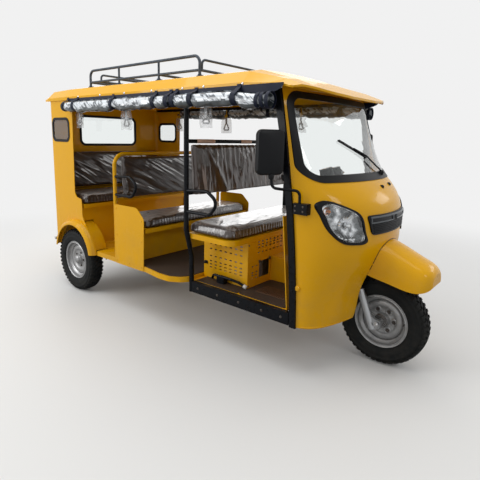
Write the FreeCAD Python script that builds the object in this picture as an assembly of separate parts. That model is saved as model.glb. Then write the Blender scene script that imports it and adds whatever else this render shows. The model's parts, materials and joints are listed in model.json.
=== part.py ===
import FreeCAD, Part
import math
import os

# Auto rickshaw, three rows of seats. Millimetres, +X forward, +Y to the left, +Z up.
# Every x in this file is measured forward from the rear axle. The pieces are saved
# with x less DATUM_X, so that the origin lies on the ground under the middle.

# Driving dimensions
WHEELBASE = 2520.0
DATUM_X = 1157.0
REAR_END_X = -450.0
TYRE_RADIUS = 272.5
TYRE_WIDTH = 128.0
RIM_RADIUS = 167.0
RIM_SEAT = 152.6
RIM_WIDTH = 100.0
REAR_WHEEL_Y = 581.0
AXLE_Z = TYRE_RADIUS

BODY_HALF = 605.0
POST_HALF = 535.0
SHEET = 4.0
FIT_GAP = 0.5
SILL_Z = 308.0
FRONT_FLOOR_Z = 380.0
PLATFORM_BOTTOM_Z = 365.0
PLATFORM_TOP_Z = 402.0
PLATFORM_FRONT_X = 1345.0
BODY_TOP_Z = 1640.0
REAR_WALL_X = -385.0
B_POST_X = 1364.0
B_POST_Y = 585.0
FRAME_X = 565.0
FRAME_Y = 590.0

ROOF_WALL = 22.0

STEER_ANGLE = math.radians(21.4)
STEER_X = 2452.0
STEER_Z = 272.0

COWL_WALL = 5.0
COWL_SPANS = 8
COWL_HALF = 539.0
# Height, front of the nose and half width of the cowl at each level
COWL_LEVELS = [
    (305.0, 2410.0, COWL_HALF),
    (440.0, 2432.0, COWL_HALF),
    (660.0, 2502.0, COWL_HALF),
    (780.0, 2526.0, COWL_HALF),
    (900.0, 2526.0, COWL_HALF),
    (1000.0, 2508.0, COWL_HALF),
    (1065.0, 2466.0, COWL_HALF),
    (1141.0, 2386.0, COWL_HALF),
    (1250.0, 2292.0, 537.0),
    (1360.0, 2220.0, 534.0),
    (1500.0, 2152.0, 530.0),
    (1640.0, 2098.0, 524.0),
]

V = FreeCAD.Vector
UP = V(0, 0, 1)
PARTS = {}


# Small helpers

def box(x0, x1, y0, y1, z0, z1):
    return Part.makeBox(x1 - x0, y1 - y0, z1 - z0, V(x0, y0, z0))


def rod(start, end, radius):
    start, end = V(*start), V(*end)
    return Part.makeCylinder(radius, (end - start).Length, start, end - start)


def mirrored(shape):
    return shape.mirror(V(0, 0, 0), V(0, 1, 0))


def both(shape):
    return [shape, mirrored(shape)]


def fused(shapes):
    shapes = list(shapes)
    joined = shapes[0].fuse(shapes[1:]) if len(shapes) > 1 else shapes[0]
    return joined.removeSplitter()


def cut(shape, tools):
    return shape.cut(Part.makeCompound(list(tools)))


def to_plane(plane, u, v, w):
    if plane == "xy":
        return V(u, v, w)
    if plane == "xz":
        return V(u, w, v)
    return V(w, u, v)


def outline(points, radii, plane, w):
    """A closed wire through the points, with each corner rounded by its radius."""
    count = len(points)
    if not isinstance(radii, (list, tuple)):
        radii = [radii] * count
    pts = [V(p[0], p[1], 0) for p in points]
    starts, ends, mids = [], [], []
    for i, radius in enumerate(radii):
        here = pts[i]
        back = (pts[i - 1] - here)
        ahead = (pts[(i + 1) % count] - here)
        back.normalize()
        ahead.normalize()
        turn = math.pi - back.getAngle(ahead)
        if radius <= 0 or turn < 1e-3:
            starts.append(here)
            ends.append(here)
            mids.append(None)
            continue
        reach = radius * math.tan(turn / 2)
        bisector = back + ahead
        bisector.normalize()
        centre = here + bisector * (radius / math.cos(turn / 2))
        starts.append(here + back * reach)
        ends.append(here + ahead * reach)
        mids.append(centre - bisector * radius)
    edges = []

    def place(p):
        return to_plane(plane, p.x, p.y, w)

    for i in range(count):
        if mids[i] is not None:
            edges.append(Part.Arc(place(starts[i]), place(mids[i]), place(ends[i])).toShape())
        nxt = (i + 1) % count
        if (starts[nxt] - ends[i]).Length > 1e-6:
            edges.append(Part.makeLine(place(ends[i]), place(starts[nxt])))
    return Part.Wire(edges)


def plate(points, radii, plane, w0, w1):
    """A flat plate with that outline, from w0 to w1 along the third axis."""
    face = Part.Face(outline(points, radii, plane, w0))
    return face.extrude(to_plane(plane, 0, 0, w1 - w0))


def curve_plate(points, plane, w0, w1):
    """A plate whose outline is one smooth closed curve through the points."""
    spline = Part.BSplineCurve()
    spline.interpolate(Points=[to_plane(plane, p[0], p[1], w0) for p in points], PeriodicFlag=True)
    face = Part.Face(Part.Wire([spline.toShape()]))
    return face.extrude(to_plane(plane, 0, 0, w1 - w0))


def bent_path(points, bend):
    """Straight runs joined by tangent arcs of one bend radius."""
    pts = [V(*p) for p in points]
    edges = []
    last = pts[0]
    for i in range(1, len(pts) - 1):
        back = pts[i - 1] - pts[i]
        ahead = pts[i + 1] - pts[i]
        room = 0.48 * min(back.Length, ahead.Length)
        back.normalize()
        ahead.normalize()
        turn = math.pi - back.getAngle(ahead)
        reach = min(bend * math.tan(turn / 2), room)
        radius = reach / math.tan(turn / 2)
        bisector = back + ahead
        bisector.normalize()
        start = pts[i] + back * reach
        end = pts[i] + ahead * reach
        middle = pts[i] + bisector * (radius / math.cos(turn / 2) - radius)
        edges.append(Part.makeLine(last, start))
        edges.append(Part.Arc(start, middle, end).toShape())
        last = end
    edges.append(Part.makeLine(last, pts[-1]))
    return Part.Wire(edges)


def tube(points, radius, bend):
    """A round bar along the bent path."""
    path = bent_path(points, bend)
    first = V(*points[0])
    along = V(*points[1]) - first
    profile = Part.Wire([Part.makeCircle(radius, first, along)])
    return path.makePipeShell([profile], True, False)


def turned(profile, centre, axis):
    """Revolves a closed (radius, along) outline about the axis through the centre."""
    wire = Part.makePolygon([V(p[0], 0, p[1]) for p in profile + profile[:1]])
    solid = Part.Face(wire).revolve(V(0, 0, 0), V(0, 0, 1), 360)
    solid.Placement = FreeCAD.Placement(V(*centre), FreeCAD.Rotation(V(0, 0, 1), V(*axis)))
    return solid


def save(node, *shapes):
    PARTS[node] = shapes


# Steering axis

def steer_x(z, behind=0.0):
    """The steering axis' x at height z, or that of a line behind it."""
    return STEER_X - (z - STEER_Z) * math.tan(STEER_ANGLE) - behind


POST_DEPTH = 40.0


def post_x(z):
    """Rear face of the front door post, which curves back as it rises."""
    above_foot, above_waist = z - 326.0, z - 931.0
    return 2178.0 - 0.0744 * above_foot - 0.0000744 * above_foot * above_waist


# Wheels, each turned about the Y axis

TYRE_SIDE = [
    # Radius and half width, from the bead over the sidewall to the crown
    (RIM_SEAT + 0.4, 42.0),
    (RIM_RADIUS + 0.6, 45.2),
    (RIM_RADIUS + 0.6, 51.5),
    (188.0, 61.0),
    (214.0, TYRE_WIDTH / 2),
    (246.0, 60.0),
    (264.0, 46.0),
    (TYRE_RADIUS, 18.0),
]


def tyre(x, y):
    other_side = [(radius, -half) for radius, half in reversed(TYRE_SIDE)]
    return turned(TYRE_SIDE + other_side, (x, y, AXLE_Z), (0, 1, 0))


def rim(x, y, outward, bore, hub_in, hub_out):
    """A pressed steel wheel: drop-centre barrel, dished disc with windows, hub.

    Outward is +1 or -1, the side of y that the dish faces.
    """
    half = RIM_WIDTH / 2
    well = 128.0
    seat = RIM_SEAT
    barrel = [
        (RIM_RADIUS, -half), (RIM_RADIUS, -half + 4), (seat, -half + 7), (seat, -24),
        (well + 4, -14), (well + 4, 14), (seat, 24), (seat, half - 7), (RIM_RADIUS, half - 4),
        (RIM_RADIUS, half), (seat - 4, half), (seat - 4, 22), (well, 12), (well, -12),
        (seat - 4, -22), (seat - 4, -half),
    ]
    disc = [
        (bore, hub_in), (42, hub_in), (42, 4), (78, 4), (92, 16), (112, 14), (well + 1, -6),
        (well + 1, 0), (112, 19), (90, 21), (76, 9), (46, 9), (40, hub_out), (bore, hub_out),
    ]
    wheel = fused([turned(barrel, (0, 0, 0), (0, 0, 1)), turned(disc, (0, 0, 0), (0, 0, 1))])
    windows = []
    for k in range(6):
        angle = math.radians(60 * k + 30)
        cx, cy = 101 * math.cos(angle), 101 * math.sin(angle)
        windows.append(Part.makeCylinder(13, 60, V(cx, cy, -20)))
    wheel = cut(wheel, windows)
    wheel.Placement = FreeCAD.Placement(V(x, y, AXLE_Z), FreeCAD.Rotation(V(0, 0, 1), V(0, outward, 0)))
    return wheel


save("front_tyre", tyre(WHEELBASE, 0))
save("front_rim", rim(WHEELBASE, 0, -1, 9.0, -48.0, 40.0))
save("rear_tyre_left", tyre(0, REAR_WHEEL_Y))
save("rear_tyre_right", tyre(0, -REAR_WHEEL_Y))
save("rear_rim_left", rim(0, REAR_WHEEL_Y, 1, 16.5, -20.0, 34.0))
save("rear_rim_right", rim(0, -REAR_WHEEL_Y, -1, 16.5, -20.0, 34.0))

# Fork: two raked legs with the axle ahead of them, two clamps and the stem

FORK_Y = 93.0
LEG_BEHIND = -20.0


def on_axis(z, y=0.0, behind=0.0):
    return (steer_x(z, behind), y, z)


legs = []
for side in (-1, 1):
    legs.append(rod(on_axis(232, side * FORK_Y, LEG_BEHIND), on_axis(470, side * FORK_Y, LEG_BEHIND), 24))
    legs.append(rod(on_axis(460, side * FORK_Y, LEG_BEHIND), on_axis(985, side * FORK_Y, LEG_BEHIND), 16))
    foot_x = steer_x(255, LEG_BEHIND)
    legs.append(plate([(foot_x - 14, 222), (foot_x + 30, 232), (WHEELBASE + 20, 254), (WHEELBASE + 20, 292),
                       (WHEELBASE - 18, 300), (foot_x - 26, 330)], 9, "xz",
                      side * FORK_Y - 12, side * FORK_Y + 12))
legs.append(rod((WHEELBASE, -FORK_Y - 22, AXLE_Z), (WHEELBASE, FORK_Y + 22, AXLE_Z), 8))
clamp = plate([(-18, -122), (30, -122), (30, 122), (-18, 122)], 14, "xy", -14, 14)
tilt = FreeCAD.Rotation(V(0, 1, 0), -math.degrees(STEER_ANGLE))
for z in (600.0, 970.0):
    piece = clamp.copy()
    piece.Placement = FreeCAD.Placement(V(*on_axis(z)), tilt)
    legs.append(piece)
legs.append(rod(on_axis(600), on_axis(970), 14))
fork = fused(legs)
save("fork", fork)

# Handlebar: swept back over the upper clamp, with grips, levers and two round dials
BAR_Z = 1150.0
bar_x = steer_x(1040)
grip_bar = tube([(bar_x - 190, -345, BAR_Z - 20), (bar_x - 120, -250, BAR_Z), (bar_x, -90, BAR_Z - 30),
                 (bar_x + 12, 0, BAR_Z - 90), (bar_x, 90, BAR_Z - 30), (bar_x - 120, 250, BAR_Z),
                 (bar_x - 190, 345, BAR_Z - 20)], 11, 55)
riser = rod(on_axis(975, 0, -2), (bar_x + 12, 0, BAR_Z - 70), 20)
bar_pieces = [grip_bar, riser]
for side in (-1, 1):
    bar_pieces.append(rod((bar_x - 193, side * 349, BAR_Z - 21), (bar_x - 131, side * 265, BAR_Z - 3), 17))
    bar_pieces.append(rod((bar_x - 122, side * 252, BAR_Z), (bar_x - 96, side * 218, BAR_Z - 5), 21))
    bar_pieces.append(rod((bar_x - 30, side * 52, BAR_Z - 60), (bar_x - 62, side * 52, BAR_Z + 28), 44))
save("handlebar", fused(bar_pieces).cut(fork))

# Chassis: ladder frame, front struts, head tube and rear bar

frame = []
for side in (-1, 1):
    frame.append(box(-375, 2175, min(side * 300, side * 350), max(side * 300, side * 350), 306, 364))
    frame.append(tube([(2160, side * 318, 345), (2165, side * 240, 560), (2138, side * 80, 772),
                       (steer_x(805, 24), side * 10, 805)], 19, 60))
for x, half in ((-375, 325), (150, 325), (760, 325), (1345, POST_HALF - 18), (2135, POST_HALF - 18)):
    frame.append(box(x, x + 40, -half, half, 322, 358))
frame.append(rod(on_axis(645), on_axis(905), 30))
BUMPER_X = -478.0
for side in (-1, 1):
    frame.append(tube([(-370, side * 325, 335), (BUMPER_X, side * 345, 350), (BUMPER_X, side * 540, 376),
                       (BUMPER_X, side * 560, 379)], 14, 20))
frame.append(rod((BUMPER_X, -345, 350), (BUMPER_X, 345, 350), 14))
frame_solid = fused(frame)
frame_solid = cut(frame_solid, [rod(on_axis(620), on_axis(930), 20)])
save("chassis_frame", frame_solid)

sill = box(B_POST_X + 17, 2171, -POST_HALF - 15, -POST_HALF + 15, SILL_Z, FRONT_FLOOR_Z + 3)
save("side_sills", *both(sill))

# Floor: one folded sheet with a raised tunnel, its toe board leaning back with the door posts
FLOOR_HALF = POST_HALF - 18
FLOOR_UNDER_Z = FRONT_FLOOR_Z - 6
TUNNEL_HALF = 140.0
TUNNEL_TOP_Z = 555.0
COVER_X0, COVER_X1, COVER_HALF, COVER_TOP = 1352.0, 1750.0, 400.0, 690.0
ENGINE_X0, ENGINE_X1, ENGINE_HALF = 1420.0, 1700.0, 170.0
floor_sheet = box(PLATFORM_FRONT_X + 2, 2136, -FLOOR_HALF, FLOOR_HALF, FLOOR_UNDER_Z, FRONT_FLOOR_Z)
toe = plate([(2130, FLOOR_UNDER_Z), (2136, FLOOR_UNDER_Z), (2086, 930), (2080, 930)], 0, "xz",
            -FLOOR_HALF + 6, FLOOR_HALF - 6)
tunnel_end = [(COVER_X1 + 0.5, FLOOR_UNDER_Z), (2133, FLOOR_UNDER_Z), (2117, TUNNEL_TOP_Z),
              (COVER_X1 + 0.5, TUNNEL_TOP_Z)]
tunnel = plate(tunnel_end, 0, "xz", -TUNNEL_HALF, TUNNEL_HALF)
under_tunnel = plate([(u, v - SHEET) for u, v in tunnel_end], 0, "xz",
                     SHEET - TUNNEL_HALF, TUNNEL_HALF - SHEET)
engine_hole = box(ENGINE_X0 - 10, ENGINE_X1 + 10, -ENGINE_HALF - 12, ENGINE_HALF + 12,
                  FRONT_FLOOR_Z - 10, FRONT_FLOOR_Z + 10)
save("front_floor", fused([floor_sheet, toe, tunnel.cut(toe)]).cut(engine_hole).cut(under_tunnel.cut(toe)))


def platform_outline(inset):
    h = BODY_HALF + 3 - inset
    w = 490 - inset
    right = [(-378 + inset, -w), (300 + inset, -w), (300 + inset, -h), (944, -h), (1130, -h - 26),
             (1230, -h - 22), (1306, -h + 22), (PLATFORM_FRONT_X - inset, -h + 80)]
    return right + [(x, -y) for x, y in reversed(right)]


corner_radii = [20, 20, 12, 300, 120, 90, 70, 60]
radii = corner_radii + corner_radii[::-1]
pan = plate(platform_outline(0), radii, "xy", PLATFORM_BOTTOM_Z, PLATFORM_TOP_Z)
hollow = plate(platform_outline(SHEET), radii, "xy", PLATFORM_BOTTOM_Z - 1, PLATFORM_TOP_Z - SHEET)
save("rear_platform", pan.cut(hollow))

mat = plate([(794, -596), (944, -598), (1130, -622), (1230, -618), (1296, -580), (1335, -520),
             (1335, 520), (1296, 580), (1230, 618), (1130, 622), (944, 598), (794, 596)],
            [8, 200, 100, 80, 60, 50, 50, 60, 80, 100, 200, 8], "xy", PLATFORM_TOP_Z, PLATFORM_TOP_Z + 5)
MAT_INNER_Y = TUNNEL_HALF + 5
foot_mat = plate([(1756, -505), (2118, -505), (2118, -MAT_INNER_Y), (1756, -MAT_INNER_Y)], 25, "xy",
                 FRONT_FLOOR_Z, FRONT_FLOOR_Z + 5)
save("floor_mats", mat, *both(foot_mat))

# Engine under the driver's seat, with its slotted cover
SLOT_LENGTH, SLOT_HEIGHT = 24.0, 9.0
SIDE_SLOT_X = [1418.0 + 45.7 * k for k in range(7)]
SIDE_SLOT_Z = [461.0, 483.0, 507.0, 544.0, 595.0, 633.0, 656.0, 678.0]
FRONT_SLOT_Y = [-283.0 + 44.0 * k for k in range(14)]
FRONT_SLOT_Z = [606.0, 640.0, 660.0, 680.0]
LOW_SLOT_Y = [-345.0, -303.0]
LOW_SLOT_Z = [436.0, 459.0, 479.0, 520.0]
COVER_HATCH = [(-276, 430), (-160, 430), (-160, 545), (-276, 545)]


def slots(centres, heights, plane, w0, w1):
    """Rows of level slots with round ends, cut from w0 to w1."""
    u, v = SLOT_LENGTH / 2, SLOT_HEIGHT / 2
    shapes = []
    for a in centres:
        for z in heights:
            corners = [(a - u, z - v), (a + u, z - v), (a + u, z + v), (a - u, z + v)]
            shapes.append(plate(corners, v - 0.01, plane, w0, w1))
    return shapes


save("engine_block", box(ENGINE_X0, ENGINE_X1, -ENGINE_HALF, ENGINE_HALF, 290, 640))
side_plate = box(COVER_X0, COVER_X1 - SHEET - 1, -COVER_HALF, -COVER_HALF + SHEET, FRONT_FLOOR_Z, COVER_TOP)
side_plate = cut(side_plate, slots(SIDE_SLOT_X, SIDE_SLOT_Z, "xz", -COVER_HALF - 1, -COVER_HALF + SHEET + 1))
front_plate = box(COVER_X1 - SHEET, COVER_X1, -COVER_HALF, COVER_HALF, FRONT_FLOOR_Z, COVER_TOP)
front_plate = cut(front_plate, slots(FRONT_SLOT_Y, FRONT_SLOT_Z, "yz", COVER_X1 - SHEET - 1, COVER_X1 + 1)
                  + slots(LOW_SLOT_Y, LOW_SLOT_Z, "yz", COVER_X1 - SHEET - 1, COVER_X1 + 1)
                  + [plate(COVER_HATCH, 6, "yz", COVER_X1 - SHEET - 1, COVER_X1 + 1)])
save("engine_cover", *both(side_plate), front_plate)

POST_RADIUS = 17.0


def rear_posts(radius):
    """The rear door posts, whose lower ends step in to the sills."""
    return [tube([(B_POST_X, side * B_POST_Y, 1616), (B_POST_X, side * B_POST_Y, 748),
                  (B_POST_X, side * POST_HALF, 560), (B_POST_X, side * POST_HALF, 306)], radius, 60)
            for side in (-1, 1)]


pan_outer = plate([(1348, -562), (1748, -562), (1748, 562), (1348, 562)], [10, 70, 70, 10], "xy",
                  COVER_TOP, 724)
pan_inner = plate([(1352, -558), (1744, -558), (1744, 558), (1352, 558)], [8, 66, 66, 8], "xy",
                  COVER_TOP + 5, 724 - SHEET)
engine_way = box(COVER_X0 + 10, COVER_X1 - 10, -COVER_HALF + 10, COVER_HALF - 10,
                 COVER_TOP - 1, COVER_TOP + 6)
save("seat_pan", cut(pan_outer.cut(pan_inner).cut(engine_way), rear_posts(POST_RADIUS + 1)))

# Seats: cushions, backrests and their boxes

cushion = plate([(1352, -560), (1744, -560), (1744, 560), (1352, 560)], [20, 75, 75, 20], "xy", 724.3, 798)
middle = plate([(596, -586), (942, -586), (942, 586), (596, 586)], [10, 60, 60, 10], "xy", 684.3, 754)
rear = plate([(-318, -586), (108, -586), (108, 586), (-318, 586)], [10, 50, 50, 10], "xy", 770.3, 846)
save("seat_cushions", cushion, middle, rear)


def backrest(x, z0, z1, half, thick, lean):
    shape = box(-thick / 2, thick / 2, -half, half, 0, z1 - z0)
    shape = shape.makeFillet(min(18, thick / 2 - 3), shape.Edges)
    shape.Placement = FreeCAD.Placement(V(x, 0, z0), FreeCAD.Rotation(V(0, 1, 0), -lean))
    return shape


save("seat_backrests",
     backrest(1392, 975, 1316, 556, 50, 4),
     backrest(610, 872, 1192, 562, 50, 4),
     backrest(-306, 872, 1222, 570, 56, 6))


def seat_box(x0, front, x1, half, z0, z1):
    """A folded pan on an upright front panel and a rear one."""
    top = box(x0, x1, -half, half, z1 - SHEET, z1)
    nose = box(x1 - SHEET, x1, -half, half, z1 - 34, z1)
    panel = box(front - SHEET, front, -half, half, z0, z1)
    back = box(x0, x0 + SHEET, -half, half, z0, z1)
    return fused([top, nose, panel, back])


save("seat_boxes",
     seat_box(592, 785, 930, 588, PLATFORM_TOP_Z, 684),
     cut(seat_box(-325, 70, 96, 588, PLATFORM_TOP_Z, 770),
         both(box(-330, 100, -600, -486, PLATFORM_TOP_Z - 1, 624))))

# Door posts
POST_TOP_Z = 1637.0
A_POST_LEVELS = [300.0, 520.0, 740.0, 960.0, 1180.0, 1400.0, POST_TOP_Z]
a_posts = []
for side in (-1, 1):
    y0, y1 = sorted((side * (POST_HALF - 16), side * (POST_HALF + 16)))
    rear_face = [(post_x(z), z) for z in A_POST_LEVELS]
    front_face = [(x + POST_DEPTH, z) for x, z in rear_face]
    a_posts.append(plate(rear_face + front_face[::-1], 0, "xz", y0, y1))
# The rear posts carry two bars that hold the driver's backrest
BACK_BAR_Z, BACK_RAIL_Z = 1334.0, 990.0
back_bars = [rod((x, -B_POST_Y, z), (x, B_POST_Y, z), radius)
             for x, z, radius in ((B_POST_X, BACK_BAR_Z, 13), (B_POST_X - 12, BACK_RAIL_Z, 10))]
save("door_posts", *a_posts, fused(rear_posts(POST_RADIUS) + back_bars))

roof_rail = box(REAR_WALL_X + 44, post_x(1630) + 20, -600, -572, 1616, 1639.5)
save("roof_rails", *both(roof_rail))

# Middle back frame and side panels

MIDDLE_TOP_Z, MIDDLE_RAIL_Z = 1219.0, 866.0
back_hoop = tube([(FRAME_X, -FRAME_Y, PLATFORM_TOP_Z), (FRAME_X, -FRAME_Y, MIDDLE_TOP_Z),
                  (FRAME_X, FRAME_Y, MIDDLE_TOP_Z), (FRAME_X, FRAME_Y, PLATFORM_TOP_Z)],
                 15, 90)
back_rail = rod((FRAME_X, -FRAME_Y, MIDDLE_RAIL_Z), (FRAME_X, FRAME_Y, MIDDLE_RAIL_Z), 11)
save("middle_back_frame", back_hoop.fuse(back_rail))

panel = plate([(585, PLATFORM_BOTTOM_Z), (585, 836), (860, 838), (944, 762), (931, PLATFORM_BOTTOM_Z)],
              [0, 25, 60, 40, 0], "xz", -BODY_HALF - 8, -BODY_HALF - 3.5)
save("side_panels", *both(panel))

# Rear body: quarter panels with flared arches, and the back wall
ARCH_X, ARCH_Z, ARCH_R = -8.0, 322.0, 262.0
QUARTER = [(REAR_WALL_X - 5, 366), (REAR_WALL_X - 5, BODY_TOP_Z), (2, BODY_TOP_Z), (-14, 832),
           (92, 818), (93, 669), (280, 411), (296, 366)]
WINDOW = [(-329, 1306), (-63, 1306), (-63, 1488), (-329, 1488)]


def arch_cylinder(radius, y0, y1):
    return Part.makeCylinder(radius, y1 - y0, V(ARCH_X, y0, ARCH_Z), V(0, 1, 0))


def grown(points, by):
    """A rectangle's points moved outward by a distance."""
    cx = sum(p[0] for p in points) / 4
    cy = sum(p[1] for p in points) / 4
    return [(u + (by if u > cx else -by), v + (by if v > cy else -by)) for u, v in points]


REAR_CORNER = 42.0
SPLIT_Y = BODY_HALF - REAR_CORNER - 6


def tub(inset):
    """The rear body's walls in plan, with rounded back corners."""
    x, y, r = REAR_WALL_X + inset, BODY_HALF - inset, REAR_CORNER - inset
    return plate([(x, -y), (400, -y), (400, y), (x, y)], [r, 0, 0, r], "xy", 366, BODY_TOP_Z)


walls = tub(0).cut(tub(SHEET))
quarter = walls.common(plate(QUARTER, [0, 0, 0, 60, 30, 60, 60, 0], "xz", -BODY_HALF - 1, -SPLIT_Y))
quarter = quarter.cut(plate(WINDOW, 45, "xz", -BODY_HALF - 1, -BODY_HALF + SHEET + 1))
quarter = quarter.cut(arch_cylinder(ARCH_R + 12, -BODY_HALF - 1, -BODY_HALF + SHEET + 1))
flare_profile = [(ARCH_R, -50), (ARCH_R + 4, -54), (ARCH_R + 20, -52), (ARCH_R + 36, -38),
                 (ARCH_R + 46, -14), (ARCH_R + 48, 4), (ARCH_R + 43, 4), (ARCH_R + 41, -14),
                 (ARCH_R + 32, -34), (ARCH_R + 18, -47), (ARCH_R + 4, -49), (ARCH_R + 3, -46)]
flare = turned(flare_profile, (ARCH_X, -BODY_HALF, ARCH_Z), (0, 1, 0))
flare = flare.common(box(REAR_WALL_X, 330, -700, -BODY_HALF, 366, 700))
quarter = fused([quarter, flare])
save("rear_quarters", *both(quarter))

back = walls.common(box(REAR_WALL_X - 5, REAR_WALL_X + 60, -SPLIT_Y, SPLIT_Y, 366, BODY_TOP_Z))
BACK_WINDOW = [(-312, 1266), (312, 1266), (312, 1532), (-312, 1532)]
back = back.cut(plate(BACK_WINDOW, 50, "yz", REAR_WALL_X - 1, REAR_WALL_X + SHEET + 1))
# Four holes for a number plate
PLATE_HOLE_Y, PLATE_HOLE_Z, PLATE_HOLE_R = (-90.0, 90.0), (600.0, 700.0), 3.3
plate_holes = [rod((REAR_WALL_X - 1, y, z), (REAR_WALL_X + SHEET + 1, y, z), PLATE_HOLE_R)
               for y in PLATE_HOLE_Y for z in PLATE_HOLE_Z]
save("rear_wall", cut(back, plate_holes))

# Inner wheel housings
house = arch_cylinder(300, -BODY_HALF + 5, -500).cut(arch_cylinder(296, -BODY_HALF + 4, -504))
house = house.common(box(-320, 320, -700, -450, PLATFORM_TOP_Z, 700))
save("wheel_housings", *both(house))

# Nose cowl: half an ellipse in plan at every level


def cowl_curve(z, nose, half, grow):
    """Half an ellipse from the right door post round the nose to the left one."""
    start = post_x(z) + POST_DEPTH + FIT_GAP
    points = []
    for k in range(COWL_SPANS + 1):
        angle = -math.pi / 2 + math.pi * k / COWL_SPANS
        points.append(V(start + (nose + grow - start) * math.cos(angle), (half + grow) * math.sin(angle), z))
    return points


def smooth(points):
    spline = Part.BSplineCurve()
    spline.interpolate(points)
    return spline.toShape()


def cowl_solid(grow, z_grow=0.0):
    """The cowl filled in back to the door posts, grown outward by a distance."""
    wires = []
    for z, nose, half in COWL_LEVELS:
        if z == COWL_LEVELS[0][0]:
            z -= z_grow
        if z == COWL_LEVELS[-1][0]:
            z += z_grow
        points = cowl_curve(z, nose, half, grow)
        wires.append(Part.Wire([smooth(points), Part.makeLine(points[-1], points[0])]))
    return Part.makeLoft(wires, True, False)


def cowl_band(outer, inner):
    """A skin that follows the cowl, between two distances from its surface."""
    wires = []
    for z, nose, half in COWL_LEVELS:
        out = cowl_curve(z, nose, half, outer)
        ins = cowl_curve(z, nose, half, inner)
        wires.append(Part.Wire([smooth(out), Part.makeLine(out[-1], ins[-1]), smooth(ins[::-1]),
                                Part.makeLine(ins[0], out[0])]))
    return Part.makeLoft(wires, True, False)


cowl_full = cowl_solid(0)
cowl = cowl_band(0, -COWL_WALL)
wheel_gap = plate([(-184, 290), (-166, 596), (-131, 690), (-72, 738), (72, 738), (131, 690), (166, 596),
                   (184, 290)], [0, 40, 60, 60, 60, 60, 40, 0], "yz", 2240, 2600)
SCREEN_OUTER = [(-534, 1132), (534, 1132), (514, 1626), (-514, 1626)]
SCREEN_MIDDLE = [(-520, 1150), (520, 1150), (496, 1606), (-496, 1606)]
SCREEN_INNER = [(-506, 1170), (506, 1170), (476, 1586), (-476, 1586)]
screen_hole = plate(SCREEN_MIDDLE, [85, 85, 70, 70], "yz", 2060, 2600)
cowl = cowl.cut(wheel_gap).cut(screen_hole)

LAMP = [(-499, 1030), (-478, 1041), (-430, 1029), (-370, 1000), (-315, 960), (-293, 905), (-273, 840),
        (-266, 808), (-282, 798), (-340, 796), (-398, 803), (-442, 836), (-482, 901), (-501, 975)]
LAMP_CENTRE = (-386.0, 912.0)
BEZEL_SHARE = 0.88


def lamp_outline(share):
    cy, cz = LAMP_CENTRE
    return [(cy + (y - cy) * share, cz + (z - cz) * share) for y, z in LAMP]


lamp_prism = curve_plate(LAMP, "yz", 2200, 2640)
bezel_prism = curve_plate(lamp_outline(0.997), "yz", 2200, 2640)
bezel_hole = curve_plate(lamp_outline(BEZEL_SHARE), "yz", 2190, 2650)
lens_prism = curve_plate(lamp_outline(BEZEL_SHARE - 0.005), "yz", 2190, 2650)
cowl = cut(cowl, both(lamp_prism))
save("cowl", cowl)

save("headlights", *both(lens_prism.common(cowl_band(4, -45))))
save("lamp_bezels", *both(bezel_prism.cut(bezel_hole).common(cowl_band(9, -30))))

glass_band = cowl_band(-1, -6)
screen = plate(SCREEN_INNER, [68, 68, 55, 55], "yz", 2060, 2600).common(glass_band)
screen = max(screen.Solids, key=lambda s: s.Volume)


def screen_ring(points, radii, outer, inner):
    """A rubber ring round the windscreen, between two distances from the cowl's surface."""
    ring = plate(points, radii, "yz", 2060, 2600)
    ring = ring.cut(plate(SCREEN_INNER, [68, 68, 55, 55], "yz", 2050, 2610)).common(cowl_band(outer, inner))
    return max(ring.Solids, key=lambda s: s.Volume)


gasket = fused([screen_ring(SCREEN_OUTER, [96, 96, 82, 82], 5, FIT_GAP),
                screen_ring(grown(SCREEN_MIDDLE, -FIT_GAP), [85, 85, 70, 70], 4, -8)])


def pane(points, radius, plane, w, thick):
    return plate(points, radius, plane, w, w + thick)


def gasket_ring(points, radius, plane, face_w, back_w, lip):
    """A rubber ring that grips the wall's edge with a lip on each side."""
    hole = plate(grown(points, -10), radius - 10, plane, face_w - 50, face_w + 50)
    low, high = sorted((face_w, back_w))
    layers = [plate(grown(points, 12), radius + 12, plane, low - lip, low),
              plate(points, radius, plane, low, high),
              plate(grown(points, 12), radius + 12, plane, high, high + lip)]
    return fused(layers).cut(hole)


side_pane = pane(grown(WINDOW, -10), 35, "xz", -BODY_HALF, SHEET)
rear_pane = pane(grown(BACK_WINDOW, -10), 40, "yz", REAR_WALL_X, SHEET)
side_ring = gasket_ring(WINDOW, 45, "xz", -BODY_HALF, -BODY_HALF + SHEET, 4)
rear_ring = gasket_ring(BACK_WINDOW, 50, "yz", REAR_WALL_X, REAR_WALL_X + SHEET, 4)
save("glazing", screen, *both(side_pane), rear_pane)
save("window_gaskets", gasket, *both(side_ring), rear_ring)

# Plain grille plate on the nose
GRILLE = [(-272, 954), (272, 954), (228, 840), (-228, 840)]
grille = plate(GRILLE, [14, 14, 36, 36], "yz", 2350, 2640)
save("nose_grille", grille.common(cowl_band(9, FIT_GAP)))

# Front mudguard: a shell with a crown ridge, closed at the front
# x, half width, height of the skirt, height of the ridge
MUDGUARD = [
    (2435, 166, 594, 810),
    (2545, 158, 564, 778),
    (2645, 152, 542, 734),
    (2715, 147, 532, 701),
    (2762, 136, 537, 678),
    (2790, 112, 548, 656),
    (2806, 78, 566, 630),
]


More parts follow.
